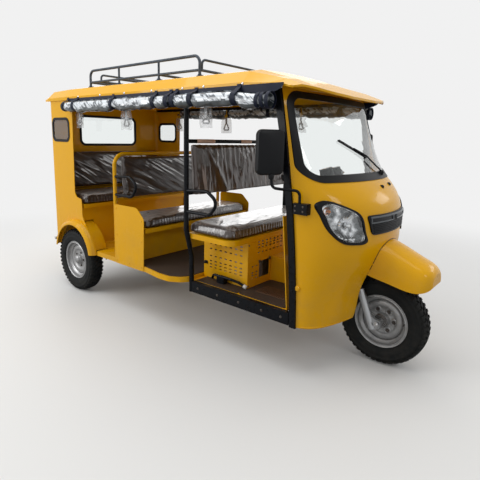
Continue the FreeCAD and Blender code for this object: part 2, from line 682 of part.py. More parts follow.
def mudguard_solid(inward):
    wires = []
    for x, half, skirt, ridge in MUDGUARD:
        half = half - inward
        ridge = ridge - inward
        skirt = skirt - 3 * inward
        rise = ridge - skirt
        if x == MUDGUARD[-1][0]:
            x -= 1.5 * inward
        if x == MUDGUARD[0][0]:
            x -= inward
        side = [(-half, 0), (-half * 0.97, 0.42), (-half * 0.82, 0.76), (-half * 0.42, 0.95)]
        points = [V(x, y, skirt + rise * t) for y, t in side]
        points.append(V(x, 0, ridge))
        points += [V(x, -y, skirt + rise * t) for y, t in reversed(side)]
        spline = Part.BSplineCurve()
        spline.interpolate(points)
        wires.append(Part.Wire([spline.toShape(), Part.makeLine(points[-1], points[0])]))
    return Part.makeLoft(wires, True, False)


mudguard = mudguard_solid(0).cut(mudguard_solid(4.5)).cut(cowl_full)
mudguard = max(mudguard.Solids, key=lambda s: s.Volume)
save("front_mudguard", mudguard)

# Roof: a domed shell that runs on forward as a visor
ROOF_STATIONS = [
    # x, half width, lip height, crown height
    (REAR_END_X, 600.0, BODY_TOP_Z, 1722.0),
    (-380.0, 614.0, BODY_TOP_Z, 1758.0),
    (-100.0, 618.0, BODY_TOP_Z, 1770.0),
    (1850.0, 618.0, BODY_TOP_Z, 1770.0),
    (2030.0, 617.0, BODY_TOP_Z, 1714.0),
    (2100.0, 616.0, BODY_TOP_Z, 1692.0),
    (2170.0, 612.0, 1622.0, 1664.0),
    (2300.0, 600.0, 1592.0, 1608.0),
]
CABIN_STATIONS, VISOR_STATIONS = ROOF_STATIONS[:5], ROOF_STATIONS[4:]
VISOR_SHEET = 14.0
# Distance in from the side and share of the rise, from the eave to the crown
ROOF_SIDE = [(0.0, 0.2), (62.0, 0.72), (170.0, 0.89), (400.0, 0.975)]


def roof_solid(inward, stations):
    wires = []
    for x, half, lip, crown in stations:
        h = half - inward
        rise = crown - inward - lip
        if inward:
            x += {REAR_END_X: inward, VISOR_STATIONS[-1][0]: 1}.get(x, 0)
        side = [(-h, lip - (1 if inward else 0))]
        side += [(into - h, lip + share * rise) for into, share in ROOF_SIDE]
        points = [V(x, y, z) for y, z in side] + [V(x, 0, lip + rise)]
        points += [V(x, -y, z) for y, z in reversed(side)]
        wires.append(Part.makePolygon(points + points[:1]))
    return Part.makeLoft(wires, True, True)


roof_full = roof_solid(0, ROOF_STATIONS)
VISOR_EDGE = [(2110, -660), (2178, -592), (2214, -480), (2266, -350), (2294, -170)]
roof_plan = [(-600, -660)] + VISOR_EDGE + [(x, -y) for x, y in reversed(VISOR_EDGE)] + [(-600, 660)]
edge_radii = [0, 45, 150, 250, 300]
plan = plate(roof_plan, [0] + edge_radii + edge_radii[::-1] + [0], "xy", 1550, 1800)
# The header over the windscreen joins the visor's sheet to the cowl
header_line = cowl_curve(*COWL_LEVELS[-1], 12.0)
header_back = [V(2000, p.y, p.z) for p in (header_line[-1], header_line[0])]
header_face = Part.Face(Part.Wire([smooth(header_line), Part.makeLine(header_line[-1], header_back[0]),
                                   Part.makeLine(header_back[0], header_back[1]),
                                   Part.makeLine(header_back[1], header_line[0])]))
header = header_face.translated(V(0, 0, -100)).extrude(V(0, 0, 250))
under_visor = roof_solid(VISOR_SHEET, VISOR_STATIONS).cut(header)
roof = roof_full.common(plan).cut(roof_solid(ROOF_WALL, CABIN_STATIONS)).cut(under_visor)
roof = roof.cut(cowl_solid(6, 6))
save("roof_shell", max(roof.Solids, key=lambda s: s.Volume))

# Roof rack: a frame along each side, a hoop at each end and bars across
RACK_FOOT_Z, RACK_LOW_Z, RACK_TOP_Z = 1700.0, 1792.0, 1884.0
RACK_Y, RACK_RADIUS = 455.0, 10.0
RACK_REAR_X, RACK_FRONT_X = 58.0, 1352.0
RACK_MIDDLE_X = (463.0, 941.0)
# Place and height of each hoop
RACK_HOOPS = [(RACK_FRONT_X, 1860.0), (185.0, 1846.0)]
rails = []
for y in (-RACK_Y, RACK_Y):
    pieces = [tube([(RACK_REAR_X, y, RACK_FOOT_Z), (RACK_REAR_X, y, RACK_TOP_Z),
                    (RACK_FRONT_X, y, RACK_TOP_Z), (RACK_FRONT_X, y, RACK_FOOT_Z)], RACK_RADIUS, 50),
              rod((RACK_REAR_X, y, RACK_LOW_Z), (RACK_FRONT_X, y, RACK_LOW_Z), RACK_RADIUS - 1)]
    pieces += [rod((x, y, RACK_FOOT_Z), (x, y, RACK_TOP_Z), RACK_RADIUS - 2) for x in RACK_MIDDLE_X]
    rail = fused(pieces).cut(roof_full)
    rails.append(max(rail.Solids, key=lambda s: s.Volume))
save("rack_rails", *rails)
BAR_HALF, BAR_RADIUS, HOOP_RADIUS = RACK_Y - RACK_RADIUS - 1, 9.0, 8.0
bars = [rod((x, -BAR_HALF, RACK_LOW_Z), (x, BAR_HALF, RACK_LOW_Z), BAR_RADIUS)
        for x in (RACK_REAR_X,) + RACK_MIDDLE_X]
for x, top in RACK_HOOPS:
    leg = BAR_HALF - BAR_RADIUS
    corners = [(x, -leg, RACK_LOW_Z), (x, -leg, top), (x, leg, top), (x, leg, RACK_LOW_Z)]
    hoop = tube(corners, HOOP_RADIUS, 45)
    bars.append(fused([hoop, rod((x, -BAR_HALF, RACK_LOW_Z), (x, BAR_HALF, RACK_LOW_Z), BAR_RADIUS)]))
save("rack_crossbars", *bars)

# Curtain rolls under the roof's edge
rolls = []
for side in (-1, 1):
    for x0, x1 in ((-30, 1280), (1300, 2060)):
        rolls.append(rod((x0, side * 642, 1588), (x1, side * 642, 1588), 36))
save("curtain_rolls", *rolls)

# Grab handles, mirrors, wiper
handles = []
for x0, z0, y, r in ((FRAME_X, 907, FRAME_Y, 15), (B_POST_X, 875, B_POST_Y, POST_RADIUS)):
    post = rod((x0, -y, z0 - 100), (x0, -y, z0 + 240), r)
    bar = tube([(x0, -y, z0 + 138), (x0 + 190, -y, z0 + 150), (x0 + 285, -y, z0 + 88),
                (x0 + 215, -y, z0), (x0, -y, z0)], 11, 50)
    bar = max(bar.cut(post).Solids, key=lambda s: s.Volume)
    handles += both(bar)
save("grab_handles", *handles)

MIRROR_X, MIRROR_Y, MIRROR_Z = 2068.0, 640.0, 1290.0
MIRROR_TURN = 27.0
heads = []
for side in (-1, 1):
    head = box(-22, 22, -80, 80, -121, 121)
    head = head.makeFillet(20, head.Edges)
    head.Placement = FreeCAD.Placement(V(MIRROR_X, side * MIRROR_Y, MIRROR_Z),
                                       FreeCAD.Rotation(UP, side * MIRROR_TURN))
    heads.append(head)
save("mirrors", *heads)
arms = []
for side in (-1, 1):
    arm = tube([(2082, side * MIRROR_Y, MIRROR_Z - 124), (2088, side * MIRROR_Y, 1102),
                (2140, side * 625, 1098), (2213, side * 556, 1090), (2214, side * 552, 1000)], 8, 32)
    base = box(2178, 2264, min(side * 520, side * 562), max(side * 520, side * 562), 962, 1022)
    arm = fused([arm, base]).cut(cowl_full)
    arms.append(max(arm.Solids, key=lambda s: s.Volume))
save("mirror_arms", *arms)

wiper = tube([(2380, 20, 1166), (2332, -94, 1265), (2262, -310, 1366)], 7, 40).cut(cowl_full)
save("wiper", max(wiper.Solids, key=lambda s: s.Volume))

# Rear lamps, axle, springs
save("tail_lamps", *both(box(REAR_WALL_X - 22, REAR_WALL_X, -560, -500, 760, 900)))
DRUM_INNER, DRUM_OUTER, DRUM_RADIUS = 505.0, 553.0, 98.0
axle_inner = REAR_WHEEL_Y - 30
axle = fused([rod((0, -axle_inner, AXLE_Z), (0, axle_inner, AXLE_Z), 26),
              rod((0, -REAR_WHEEL_Y - 30, AXLE_Z), (0, REAR_WHEEL_Y + 30, AXLE_Z), 16),
              Part.makeSphere(84, V(0, 0, AXLE_Z)),
              rod((0, 0, AXLE_Z), (1419, 0, 300), 19)]
             + both(rod((0, -DRUM_OUTER, AXLE_Z), (0, -DRUM_INNER, AXLE_Z), DRUM_RADIUS)))
save("rear_axle", axle)
springs = []
for side in (-1, 1):
    y0, y1 = sorted((side * 302, side * 348))
    springs.append(plate([(-360, 300), (-180, 240), (0, 230), (180, 240), (360, 300), (340, 306),
                          (170, 256), (0, 246), (-170, 256), (-340, 306)], 0, "xz", y0, y1))
save("leaf_springs", *springs)

# Foot controls: the gear lever on its bracket by the right sill, and the brake pedal
lever = tube([(1472, -440, 402), (1484, -440, 430), (1640, -440, 430), (1700, -430, 420),
              (1750, -416, 396)], 9, 18)
bracket = box(1522, 1586, -452, -408, FRONT_FLOOR_Z, 427)
pedal_arm = tube([(2120, -195, 452), (2066, -195, 440), (2058, -195, 403)], 6, 15)
pedal = box(1990, 2062, -232, -158, 398, 408)
save("foot_controls", fused([lever, bracket]), fused([pedal_arm, pedal]))

os.makedirs("parts", exist_ok=True)
for node, shapes in PARTS.items():
    solids = [solid for shape in shapes for solid in shape.Solids]
    result = Part.makeCompound(solids) if len(solids) > 1 else solids[0]
    result = result.translated(V(-DATUM_X, 0, 0))
    for solid in result.Solids:
        if not solid.isValid() or solid.Volume <= 0:
            print("not valid:", node)
    result.exportStep("parts/" + node + ".step")
    b = result.BoundBox
    print("%-20s %2d solids %5d faces  x %7.1f %7.1f  y %7.1f %7.1f  z %7.1f %7.1f" % (
        node, len(result.Solids), len(result.Faces), b.XMin, b.XMax, b.YMin, b.YMax, b.ZMin, b.ZMax))
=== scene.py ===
import json
import math
from typing import NamedTuple

import bmesh
import bpy
from bpy.props import FloatProperty, FloatVectorProperty, IntProperty, PointerProperty
from mathutils import Matrix, Vector, noise
from mathutils.bvhtree import BVHTree


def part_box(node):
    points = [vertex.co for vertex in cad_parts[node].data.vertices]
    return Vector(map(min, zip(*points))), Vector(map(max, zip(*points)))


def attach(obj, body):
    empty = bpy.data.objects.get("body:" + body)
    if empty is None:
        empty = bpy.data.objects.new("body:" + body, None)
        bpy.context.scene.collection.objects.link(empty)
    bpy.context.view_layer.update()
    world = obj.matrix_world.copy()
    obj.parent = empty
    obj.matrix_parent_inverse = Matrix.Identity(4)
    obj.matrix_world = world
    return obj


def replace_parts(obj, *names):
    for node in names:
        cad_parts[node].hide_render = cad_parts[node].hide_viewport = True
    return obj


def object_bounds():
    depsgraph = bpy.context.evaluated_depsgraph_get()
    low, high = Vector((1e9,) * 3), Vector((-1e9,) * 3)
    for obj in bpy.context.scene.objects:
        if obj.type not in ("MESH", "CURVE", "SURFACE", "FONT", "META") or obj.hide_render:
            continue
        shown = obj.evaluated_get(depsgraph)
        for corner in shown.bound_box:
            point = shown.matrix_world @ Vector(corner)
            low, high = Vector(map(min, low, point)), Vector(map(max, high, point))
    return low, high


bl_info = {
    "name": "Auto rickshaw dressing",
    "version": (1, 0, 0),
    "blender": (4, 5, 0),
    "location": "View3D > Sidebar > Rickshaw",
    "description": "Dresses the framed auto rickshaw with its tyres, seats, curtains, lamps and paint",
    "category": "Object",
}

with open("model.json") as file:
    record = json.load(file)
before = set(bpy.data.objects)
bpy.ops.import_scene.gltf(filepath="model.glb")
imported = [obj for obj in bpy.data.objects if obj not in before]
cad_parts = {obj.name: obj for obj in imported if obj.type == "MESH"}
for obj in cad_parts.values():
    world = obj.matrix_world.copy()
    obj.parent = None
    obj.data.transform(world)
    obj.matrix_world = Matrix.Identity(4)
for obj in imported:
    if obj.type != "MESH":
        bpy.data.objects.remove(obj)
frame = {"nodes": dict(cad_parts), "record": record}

CAD_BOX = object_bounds()
MM = 0.001
# Height of the rubber bellows on the fork, whose silver legs end under them
BELLOWS_Z = (0.474, 0.566)
# The rear axle's x in the frame, so that places can be given from the axle
AXLE_X = (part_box("rear_tyre_left")[0][0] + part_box("rear_tyre_left")[1][0]) / 2
CHASSIS = "chassis"
# A place well ahead of the nose, to aim at it from
FAR_AHEAD = CAD_BOX[1][0] + 0.4


def node_box(node):
    """The lowest and highest corner of a node as vectors."""
    low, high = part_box(node)
    return Vector(low), Vector(high)


def side_name(side):
    return "left" if side > 0 else "right"


def at(x, y, z):
    """A place in millimetres, with x measured forward from the rear axle."""
    return Vector((AXLE_X + x * MM, y * MM, z * MM))


# Settings

def colour(name, description, default):
    return FloatVectorProperty(name=name, description=description, subtype="COLOR", size=3,
                               min=0.0, max=1.0, default=default)


def length(name, description, default, low=0.0, high=5.0):
    return FloatProperty(name=name, description=description, default=default, min=low, max=high,
                         subtype="DISTANCE", unit="LENGTH")


class RickshawColours(bpy.types.PropertyGroup):
    """Colours of the paint, trim and seats"""
    body: colour("Body yellow", "Gloss paint of the body panels", (0.74, 0.375, 0.0012))
    frame: colour("Frame black", "Paint of the posts, rails and sills", (0.003, 0.0035, 0.0048))
    rack: colour("Rack grey", "Paint of the roof rack", (0.045, 0.055, 0.07))
    rim: colour("Wheel silver", "Paint of the wheel rims", (0.41, 0.41, 0.41))
    tyre: colour("Tyre rubber", "Rubber of the tyres", (0.009, 0.0102, 0.0106))
    seat: colour("Seat vinyl", "Dark brown vinyl of the seats", (0.045, 0.025, 0.018))
    mat: colour("Floor mat", "Rubber floor mats", (0.05, 0.035, 0.027))
    curtain: colour("Curtain navy", "Cloth ends of the rolled curtains", (0.006, 0.009, 0.022))
    # Used as the painted highlight colour of the rolled film's streaks
    film: colour("Curtain film", "Clear film rolled in the curtains", (0.66, 0.70, 0.74))


class RickshawTyres(bpy.types.PropertyGroup):
    """Sizes of the tyres' tread"""
    lugs: IntProperty(name="Lugs", description="Tread blocks in each row round a tyre", default=46,
                      min=20, max=80)
    tread_depth: length("Tread depth", "Depth of the grooves between the lugs", 0.007, 0.001, 0.02)


class RickshawSeats(bpy.types.PropertyGroup):
    """Sizes of the padding and its wrapped film"""
    voxel: length("Pad mesh size", "Edge of the padding's mesh squares", 0.014, 0.004, 0.04)
    crown: length("Crown", "How far a pad may swell", 0.012, 0.0, 0.05)
    wrinkle: length("Wrinkle height", "Height of the creases in the wrapped film", 0.004, 0.0, 0.02)


class RickshawStage(bpy.types.PropertyGroup):
    """The floor, the lights and the camera"""
    floor: colour("Floor", "Colour of the floor", (0.74, 0.74, 0.73))
    surround: colour("Surround", "Colour of the backdrop that the camera sees", (0.88, 0.88, 0.88))
    fade_start: length("Fade start", "Where the floor starts to turn into the surround", 2.2, 0.0, 50)
    fade_end: length("Fade end", "Where the floor has turned into the surround", 5.5, 0.0, 50)
    lens: FloatProperty(name="Lens", description="Focal length of the camera in millimetres",
                        default=31.79, min=10, max=200)
    sky: FloatProperty(name="Surround light", description="Strength of the surround", default=0.5,
                       min=0.0, max=2.0)


# Shader helpers

def add_node(tree, kind, inputs=None, **values):
    """A shader node with its settings, and its inputs given a value or a link."""
    made = tree.nodes.new(kind)
    for key, value in values.items():
        setattr(made, key, value)
    for key, value in (inputs or {}).items():
        if isinstance(value, bpy.types.NodeSocket):
            tree.links.new(value, made.inputs[key])
        else:
            made.inputs[key].default_value = value
    return made


def add_math(tree, operation, *terms, clamp=False):
    """The result of a sum on links and numbers."""
    return add_node(tree, "ShaderNodeMath", dict(enumerate(terms)), operation=operation,
                    use_clamp=clamp).outputs[0]


class Paint:
    """A material under construction: its nodes, links and Principled shader."""

    def __init__(self, name):
        self.material = bpy.data.materials.new(name)
        self.material.use_nodes = True
        self.tree = self.material.node_tree
        self.shader = next(n for n in self.tree.nodes if n.type == "BSDF_PRINCIPLED")

    def node(self, kind, inputs=None, **values):
        return add_node(self.tree, kind, inputs, **values)

    def group(self, name, **values):
        """The outputs of a shared effect, placed with its own values."""
        made = self.node("ShaderNodeGroup", node_tree=bpy.data.node_groups[name])
        for key, value in values.items():
            made.inputs[key.replace("_", " ")].default_value = value
        return made.outputs

    def set(self, **values):
        for key, value in values.items():
            socket = self.shader.inputs[key.replace("_", " ")]
            socket.default_value = (*value, 1.0) if socket.type == "RGBA" else value

    def link(self, source, target):
        self.tree.links.new(source, target)

    def mix(self, mask, first, second):
        """Two plain colours mixed by a mask."""
        return self.node("ShaderNodeMix", {"Factor": mask, "A": (*first, 1.0), "B": (*second, 1.0)},
                         data_type="RGBA")

    def mix_colour(self, mask, first, second):
        """Mixes two plain colours by a mask into the base colour."""
        mixer = self.mix(mask, first, second)
        self.link(mixer.outputs["Result"], self.shader.inputs["Base Color"])
        return mixer

    def ranged(self, source, low, high, name="Roughness"):
        """Feeds a mask into a number of the shader, between two values."""
        span = self.node("ShaderNodeMapRange", {"Value": source, "To Min": low, "To Max": high})
        self.link(span.outputs["Result"], self.shader.inputs[name])

    def bump(self, height, strength, distance):
        bump = self.node("ShaderNodeBump", {"Strength": strength, "Distance": distance, "Height": height})
        self.link(bump.outputs["Normal"], self.shader.inputs["Normal"])


def shade(value, factor):
    return tuple(min(1.0, part * factor) for part in value)


def new_group(name, inputs, outputs):
    """A shader node group with named numbers: its tree, the sockets that it is given, and its ends."""
    tree = bpy.data.node_groups.new(name, "ShaderNodeTree")
    for label, value in inputs.items():
        socket = tree.interface.new_socket(label, in_out="INPUT", socket_type="NodeSocketFloat")
        socket.default_value = value
    for label in outputs:
        tree.interface.new_socket(label, in_out="OUTPUT", socket_type="NodeSocketFloat")
    return tree, tree.nodes.new("NodeGroupInput").outputs, tree.nodes.new("NodeGroupOutput").inputs


def object_place(tree):
    return add_node(tree, "ShaderNodeTexCoord").outputs["Object"]


def above_level(tree, value, level, gain):
    """How far a noise lies over a level, made steep and held between 0 and 1."""
    return add_math(tree, "MULTIPLY", add_math(tree, "SUBTRACT", value, level), gain, clamp=True)


def build_grain_group():
    """Even fine grain: noise about a half, for colour, roughness and bump."""
    tree, given, end = new_group("Grain", {"Scale": 200, "Detail": 4.0, "Contrast": 1.0}, ["Mask", "Height"])
    speckle = add_node(tree, "ShaderNodeTexNoise", {
        "Vector": object_place(tree), "Scale": given["Scale"], "Detail": given["Detail"]}).outputs["Fac"]
    spread = add_math(tree, "MULTIPLY", add_math(tree, "SUBTRACT", speckle, 0.5), given["Contrast"])
    tree.links.new(add_math(tree, "ADD", spread, 0.5, clamp=True), end["Mask"])
    tree.links.new(speckle, end["Height"])


def build_dust_group():
    """Dust that thickens towards the ground, broken up by noise."""
    tree, given, end = new_group("Dust", {"Low height": 0.2, "High height": 0.7, "Scale": 9.0, "Amount": 0.5},
                                 ["Mask"])
    place = object_place(tree)
    apart = add_node(tree, "ShaderNodeSeparateXYZ", {"Vector": place})
    span = add_node(tree, "ShaderNodeMapRange", {
        "Value": apart.outputs["Z"], "From Min": given["Low height"], "From Max": given["High height"],
        "To Min": 1.0, "To Max": 0.12})
    cloud = add_node(tree, "ShaderNodeTexNoise", {
        "Vector": place, "Scale": given["Scale"], "Detail": 6.0, "Roughness": 0.65})
    patch = above_level(tree, cloud.outputs["Fac"], 0.38, 3.0)
    both = add_math(tree, "MULTIPLY", patch, span.outputs["Result"])
    tree.links.new(add_math(tree, "MULTIPLY", both, given["Amount"], clamp=True), end["Mask"])


def build_crinkle_group():
    """Sharp creases of thin clear film, large folds with small ones between."""
    tree, given, end = new_group("Crinkle", {"Scale": 14, "Stretch": 1.0, "Warp": 0.12}, ["Height", "Crease"])
    stretch = add_node(tree, "ShaderNodeCombineXYZ", {"X": 1.0, "Y": given["Stretch"], "Z": 1.0})
    scaled = add_node(tree, "ShaderNodeVectorMath", {0: object_place(tree), 1: stretch.outputs["Vector"]},
                      operation="MULTIPLY").outputs["Vector"]
    drift = add_node(tree, "ShaderNodeTexNoise", {"Vector": scaled, "Scale": 6.0, "Detail": 3.0})
    spread = add_node(tree, "ShaderNodeCombineXYZ", {axis: given["Warp"] for axis in "XYZ"})
    pushed = add_node(tree, "ShaderNodeVectorMath", {
        0: drift.outputs["Color"], 1: spread.outputs["Vector"], 2: scaled}, operation="MULTIPLY_ADD")
    total = None
    for factor, weight in ((1.0, 0.62), (2.3, 0.26), (5.1, 0.12)):
        size = add_math(tree, "MULTIPLY", given["Scale"], factor)
        cell = add_node(tree, "ShaderNodeTexVoronoi", {"Vector": pushed.outputs["Vector"], "Scale": size},
                        feature="F1").outputs["Distance"]
        part = add_math(tree, "MULTIPLY", cell, weight)
        if total is None:
            total = part
            tree.links.new(add_math(tree, "MULTIPLY", cell, 1.4, clamp=True), end["Crease"])
        else:
            total = add_math(tree, "ADD", total, part)
    tree.links.new(total, end["Height"])


def build_streaks_group():
    """Long thin streaks of hanging film, used as painted glints: stretched noise above a level, in patches.
    """
    tree, given, end = new_group("Streaks", {
        "Size X": 0.05, "Size Y": 0.02, "Size Z": 0.2, "Turn X": 0.0, "Turn Y": 0.0, "Level": 0.6,
        "Patch level": 0.44}, ["Mask", "Height"])
    place = object_place(tree)
    size = add_node(tree, "ShaderNodeCombineXYZ", {axis: given["Size " + axis] for axis in "XYZ"})
    turn = add_node(tree, "ShaderNodeCombineXYZ", {axis: given["Turn " + axis] for axis in "XY"})
    mapped = add_node(tree, "ShaderNodeMapping", {
        "Vector": place, "Scale": size.outputs["Vector"], "Rotation": turn.outputs["Vector"]},
                      vector_type="TEXTURE")
    strands = add_node(tree, "ShaderNodeTexNoise", {
        "Vector": mapped.outputs["Vector"], "Scale": 1.0, "Detail": 5.0, "Distortion": 0.5}).outputs["Fac"]
    cloud = add_node(tree, "ShaderNodeTexNoise", {"Vector": place, "Scale": 6.0}).outputs["Fac"]
    over = above_level(tree, strands, given["Level"], 14)
    patch = above_level(tree, cloud, given["Patch level"], 6.0)
    tree.links.new(add_math(tree, "MULTIPLY", over, patch), end["Mask"])
    tree.links.new(strands, end["Height"])


def body_paint(colours):
    """Gloss yellow with a clear coat, orange peel and a little dust low down."""
    paint = Paint("body_yellow")
    dust = paint.group("Dust", Low_height=0.30, High_height=0.75, Scale=7.0, Amount=0.30)
    peel = paint.group("Grain", Scale=420, Detail=2.0)
    paint.mix_colour(dust["Mask"], colours.body, (0.36, 0.24, 0.10))
    paint.ranged(dust["Mask"], 0.26, 0.6)
    paint.set(Coat_Weight=0.26, Coat_Roughness=0.04, Specular_IOR_Level=0.08)
    paint.bump(peel["Height"], 0.05, 0.0006)
    return paint.material


def frame_paint(name, colour_value, roughness):
    """Satin enamel over tube, with scuffs that show lighter."""
    paint = Paint(name)
    scuff = paint.group("Grain", Scale=38, Detail=8.0, Contrast=3.2)
    fine = paint.group("Grain", Scale=650, Detail=2.0)
    paint.mix_colour(scuff["Mask"], colour_value, shade(colour_value, 1.8))
    paint.ranged(scuff["Mask"], roughness - 0.08, roughness + 0.12)
    paint.set(Coat_Weight=0.06, Coat_Roughness=0.12, Specular_IOR_Level=0.1)
    paint.bump(fine["Height"], 0.08, 0.0005)
    return paint.material


def rim_paint(colours):
    """Silver enamel, dull with brake dust in patches."""
    paint = Paint("rim_silver")
    dirt = paint.group("Grain", Scale=24, Detail=9.0, Contrast=2.4)
    paint.mix_colour(dirt["Mask"], shade(colours.rim, 0.72), colours.rim)
    paint.set(Metallic=0.55)
    paint.ranged(dirt["Mask"], 0.5, 0.3)
    paint.bump(dirt["Height"], 0.06, 0.001)
    return paint.material


def rubber_paint(name, value, roughness, dust_amount):
    paint = Paint(name)
    dust = paint.group("Dust", Low_height=0.0, High_height=0.6, Scale=14, Amount=dust_amount)
    grain = paint.group("Grain", Scale=520, Detail=5.0)
    paint.mix_colour(dust["Mask"], value, (0.11, 0.095, 0.075))
    paint.ranged(dust["Mask"], roughness, roughness + 0.25)
    paint.set(Specular_IOR_Level=0.14)
    paint.bump(grain["Height"], 0.25, 0.0006)
    return paint.material


def metal_paint(name, value, roughness, metallic=1.0):
    paint = Paint(name)
    streak = paint.group("Grain", Scale=60, Detail=8.0, Contrast=2.0)
    paint.mix_colour(streak["Mask"], shade(value, 0.75), value)
    paint.set(Metallic=metallic)
    paint.ranged(streak["Mask"], roughness + 0.1, roughness)
    paint.bump(streak["Height"], 0.08, 0.0008)
    return paint.material


def reflector_paint():
    """Metal with painted reflections: bright patches and dark painted patches between them, as a lamp's
    reflector looks.
    """
    paint = Paint("lamp_chrome")
    facets_and_painted_reflections = paint.group("Grain", Scale=21, Detail=1.0, Contrast=4.0)
    # Painted reflection: dark and bright patches of colour stand for what the reflector mirrors
    paint.mix_colour(facets_and_painted_reflections["Mask"], (0.10, 0.11, 0.115), (0.80, 0.81, 0.83))
    paint.set(Metallic=1.0)
    paint.ranged(facets_and_painted_reflections["Mask"], 0.16, 0.04)
    paint.bump(facets_and_painted_reflections["Height"], 0.25, 0.002)
    return paint.material


def film_paint(name, value, crease_highlight, scale, relief=0.55):
    """Vinyl under a wrinkled clear film: glossy creases that catch the light, with a lighter colour painted
    on them as a highlight.
    """
    paint = Paint(name)
    creases = paint.group("Crinkle", Scale=scale, Stretch=0.7, Warp=0.16)
    leather = paint.group("Grain", Scale=240, Detail=4.0, Contrast=1.5)
    blend = add_math(paint.tree, "MULTIPLY", creases["Crease"], leather["Mask"])
    # Painted highlight: the creases get the lighter colour
    paint.mix_colour(blend, value, crease_highlight)
    paint.set(Coat_Weight=1.0, Coat_Roughness=0.06)
    paint.ranged(creases["Crease"], 0.28, 0.5)
    paint.bump(creases["Height"], relief, 0.012)
    return paint.material


def cushion_paint(colours):
    """Clear film over the cushions' vinyl: a pale painted reflection where it lies flat on top, broken by
    dark creases, and painted shade down the skirt with painted glints along its folds.
    """
    paint = Paint("seat_vinyl")
    creases = paint.group("Streaks", Size_X=0.30, Size_Y=0.030, Size_Z=0.3, Level=0.56, Patch_level=0.40)
    skirt_glints = paint.group("Streaks", Size_X=0.014, Size_Y=0.014, Size_Z=0.09, Level=0.57, Patch_level=0.40)
    crumple = paint.group("Crinkle", Scale=15, Stretch=0.7, Warp=0.16)
    shape = paint.node("ShaderNodeNewGeometry")
    apart = paint.node("ShaderNodeSeparateXYZ", {"Vector": shape.outputs["Normal"]})
    upward = paint.node("ShaderNodeMapRange",
                        {"Value": apart.outputs["Z"], "From Min": 0.72, "From Max": 0.97},
                        interpolation_type="SMOOTHSTEP")
    # Painted reflection: faces that point up get a pale colour, except along the creases
    clear = add_math(paint.tree, "SUBTRACT", upward.outputs["Result"], creases["Mask"], clamp=True)
    # Painted shade and glints: the skirt is the seat colour darkened to 0.7, with pale painted glints along
    # its folds
    skirt = paint.mix(skirt_glints["Mask"], shade(colours.seat, 0.7), (0.26, 0.24, 0.235))
    top = paint.mix_colour(clear, colours.seat, (0.33, 0.315, 0.31))
    paint.link(skirt.outputs["Result"], top.inputs["A"])
    paint.set(Coat_Weight=1.0, Coat_Roughness=0.14)
    paint.ranged(crumple["Crease"], 0.24, 0.42)
    paint.bump(crumple["Height"], 0.12, 0.012)
    return paint.material


def streaked_paint(name, value, glint_value, **streaks):
    """Hanging clear film, with bright streaks painted into its colour as highlights where its folds would
    catch the light.
    """
    paint = Paint(name)
    glints = paint.group("Streaks", **streaks)
    creases = paint.group("Crinkle", Scale=17, Stretch=0.7, Warp=0.16)
    # Painted highlights: the glint colour is mixed into the base colour along the streaks
    paint.mix_colour(glints["Mask"], value, glint_value)
    paint.set(Coat_Weight=1.0, Coat_Roughness=0.07)
    paint.ranged(creases["Crease"], 0.26, 0.46)
    paint.bump(glints["Height"], 0.5, 0.010)
    return paint.material


def glass_paint(name, tint, roughness=0.0):
    """Clear glass with faint smears."""
    paint = Paint(name)
    smear = paint.group("Grain", Scale=5.0, Detail=6.0, Contrast=1.6)
    paint.set(Base_Color=tint, Transmission_Weight=1.0, IOR=1.45, Specular_IOR_Level=0.3)
    paint.ranged(smear["Mask"], roughness, roughness + 0.03)
    return paint.material


def film_bag_paint():
    """Thin clear film that shows mostly by its glints."""
    paint = Paint("clear_bag")
    creases = paint.group("Crinkle", Scale=22, Stretch=1.0, Warp=0.12)
    facing = paint.node("ShaderNodeLayerWeight", {"Blend": 0.35})
    paint.set(Base_Color=(0.55, 0.56, 0.58), Coat_Weight=1.0, Coat_Roughness=0.06)
    paint.ranged(facing.outputs["Facing"], 0.16, 0.62, "Alpha")
    paint.ranged(creases["Crease"], 0.12, 0.3)
    paint.bump(creases["Height"], 0.6, 0.006)
    return paint.material


def fork_paint():
    """Silver lower legs under black upper tubes, divided where the bellows sit."""
    paint = Paint("fork_silver_and_black")
    apart = paint.node("ShaderNodeSeparateXYZ", {"Vector": object_place(paint.tree)})
    above = add_math(paint.tree, "GREATER_THAN", apart.outputs["Z"], BELLOWS_Z[0])
    streak = paint.group("Grain", Scale=45, Detail=8.0, Contrast=2.0)
    paint.mix_colour(above, (0.40, 0.41, 0.42), (0.012, 0.012, 0.014))
    paint.ranged(above, 0.85, 0.1, "Metallic")
    paint.ranged(streak["Mask"], 0.42, 0.28)
    paint.bump(streak["Height"], 0.08, 0.0008)
    return paint.material


def plastic_paint(name, value, roughness):
    paint = Paint(name)
    grain = paint.group("Grain", Scale=700, Detail=3.0)
    cloud = paint.group("Grain", Scale=12, Detail=5.0, Contrast=1.5)
    paint.mix_colour(cloud["Mask"], shade(value, 0.85), shade(value, 1.25))
    paint.ranged(cloud["Mask"], roughness - 0.05, roughness + 0.08)
    paint.set(Specular_IOR_Level=0.16)
    paint.bump(grain["Height"], 0.2, 0.0004)
    return paint.material


MATERIALS = {}


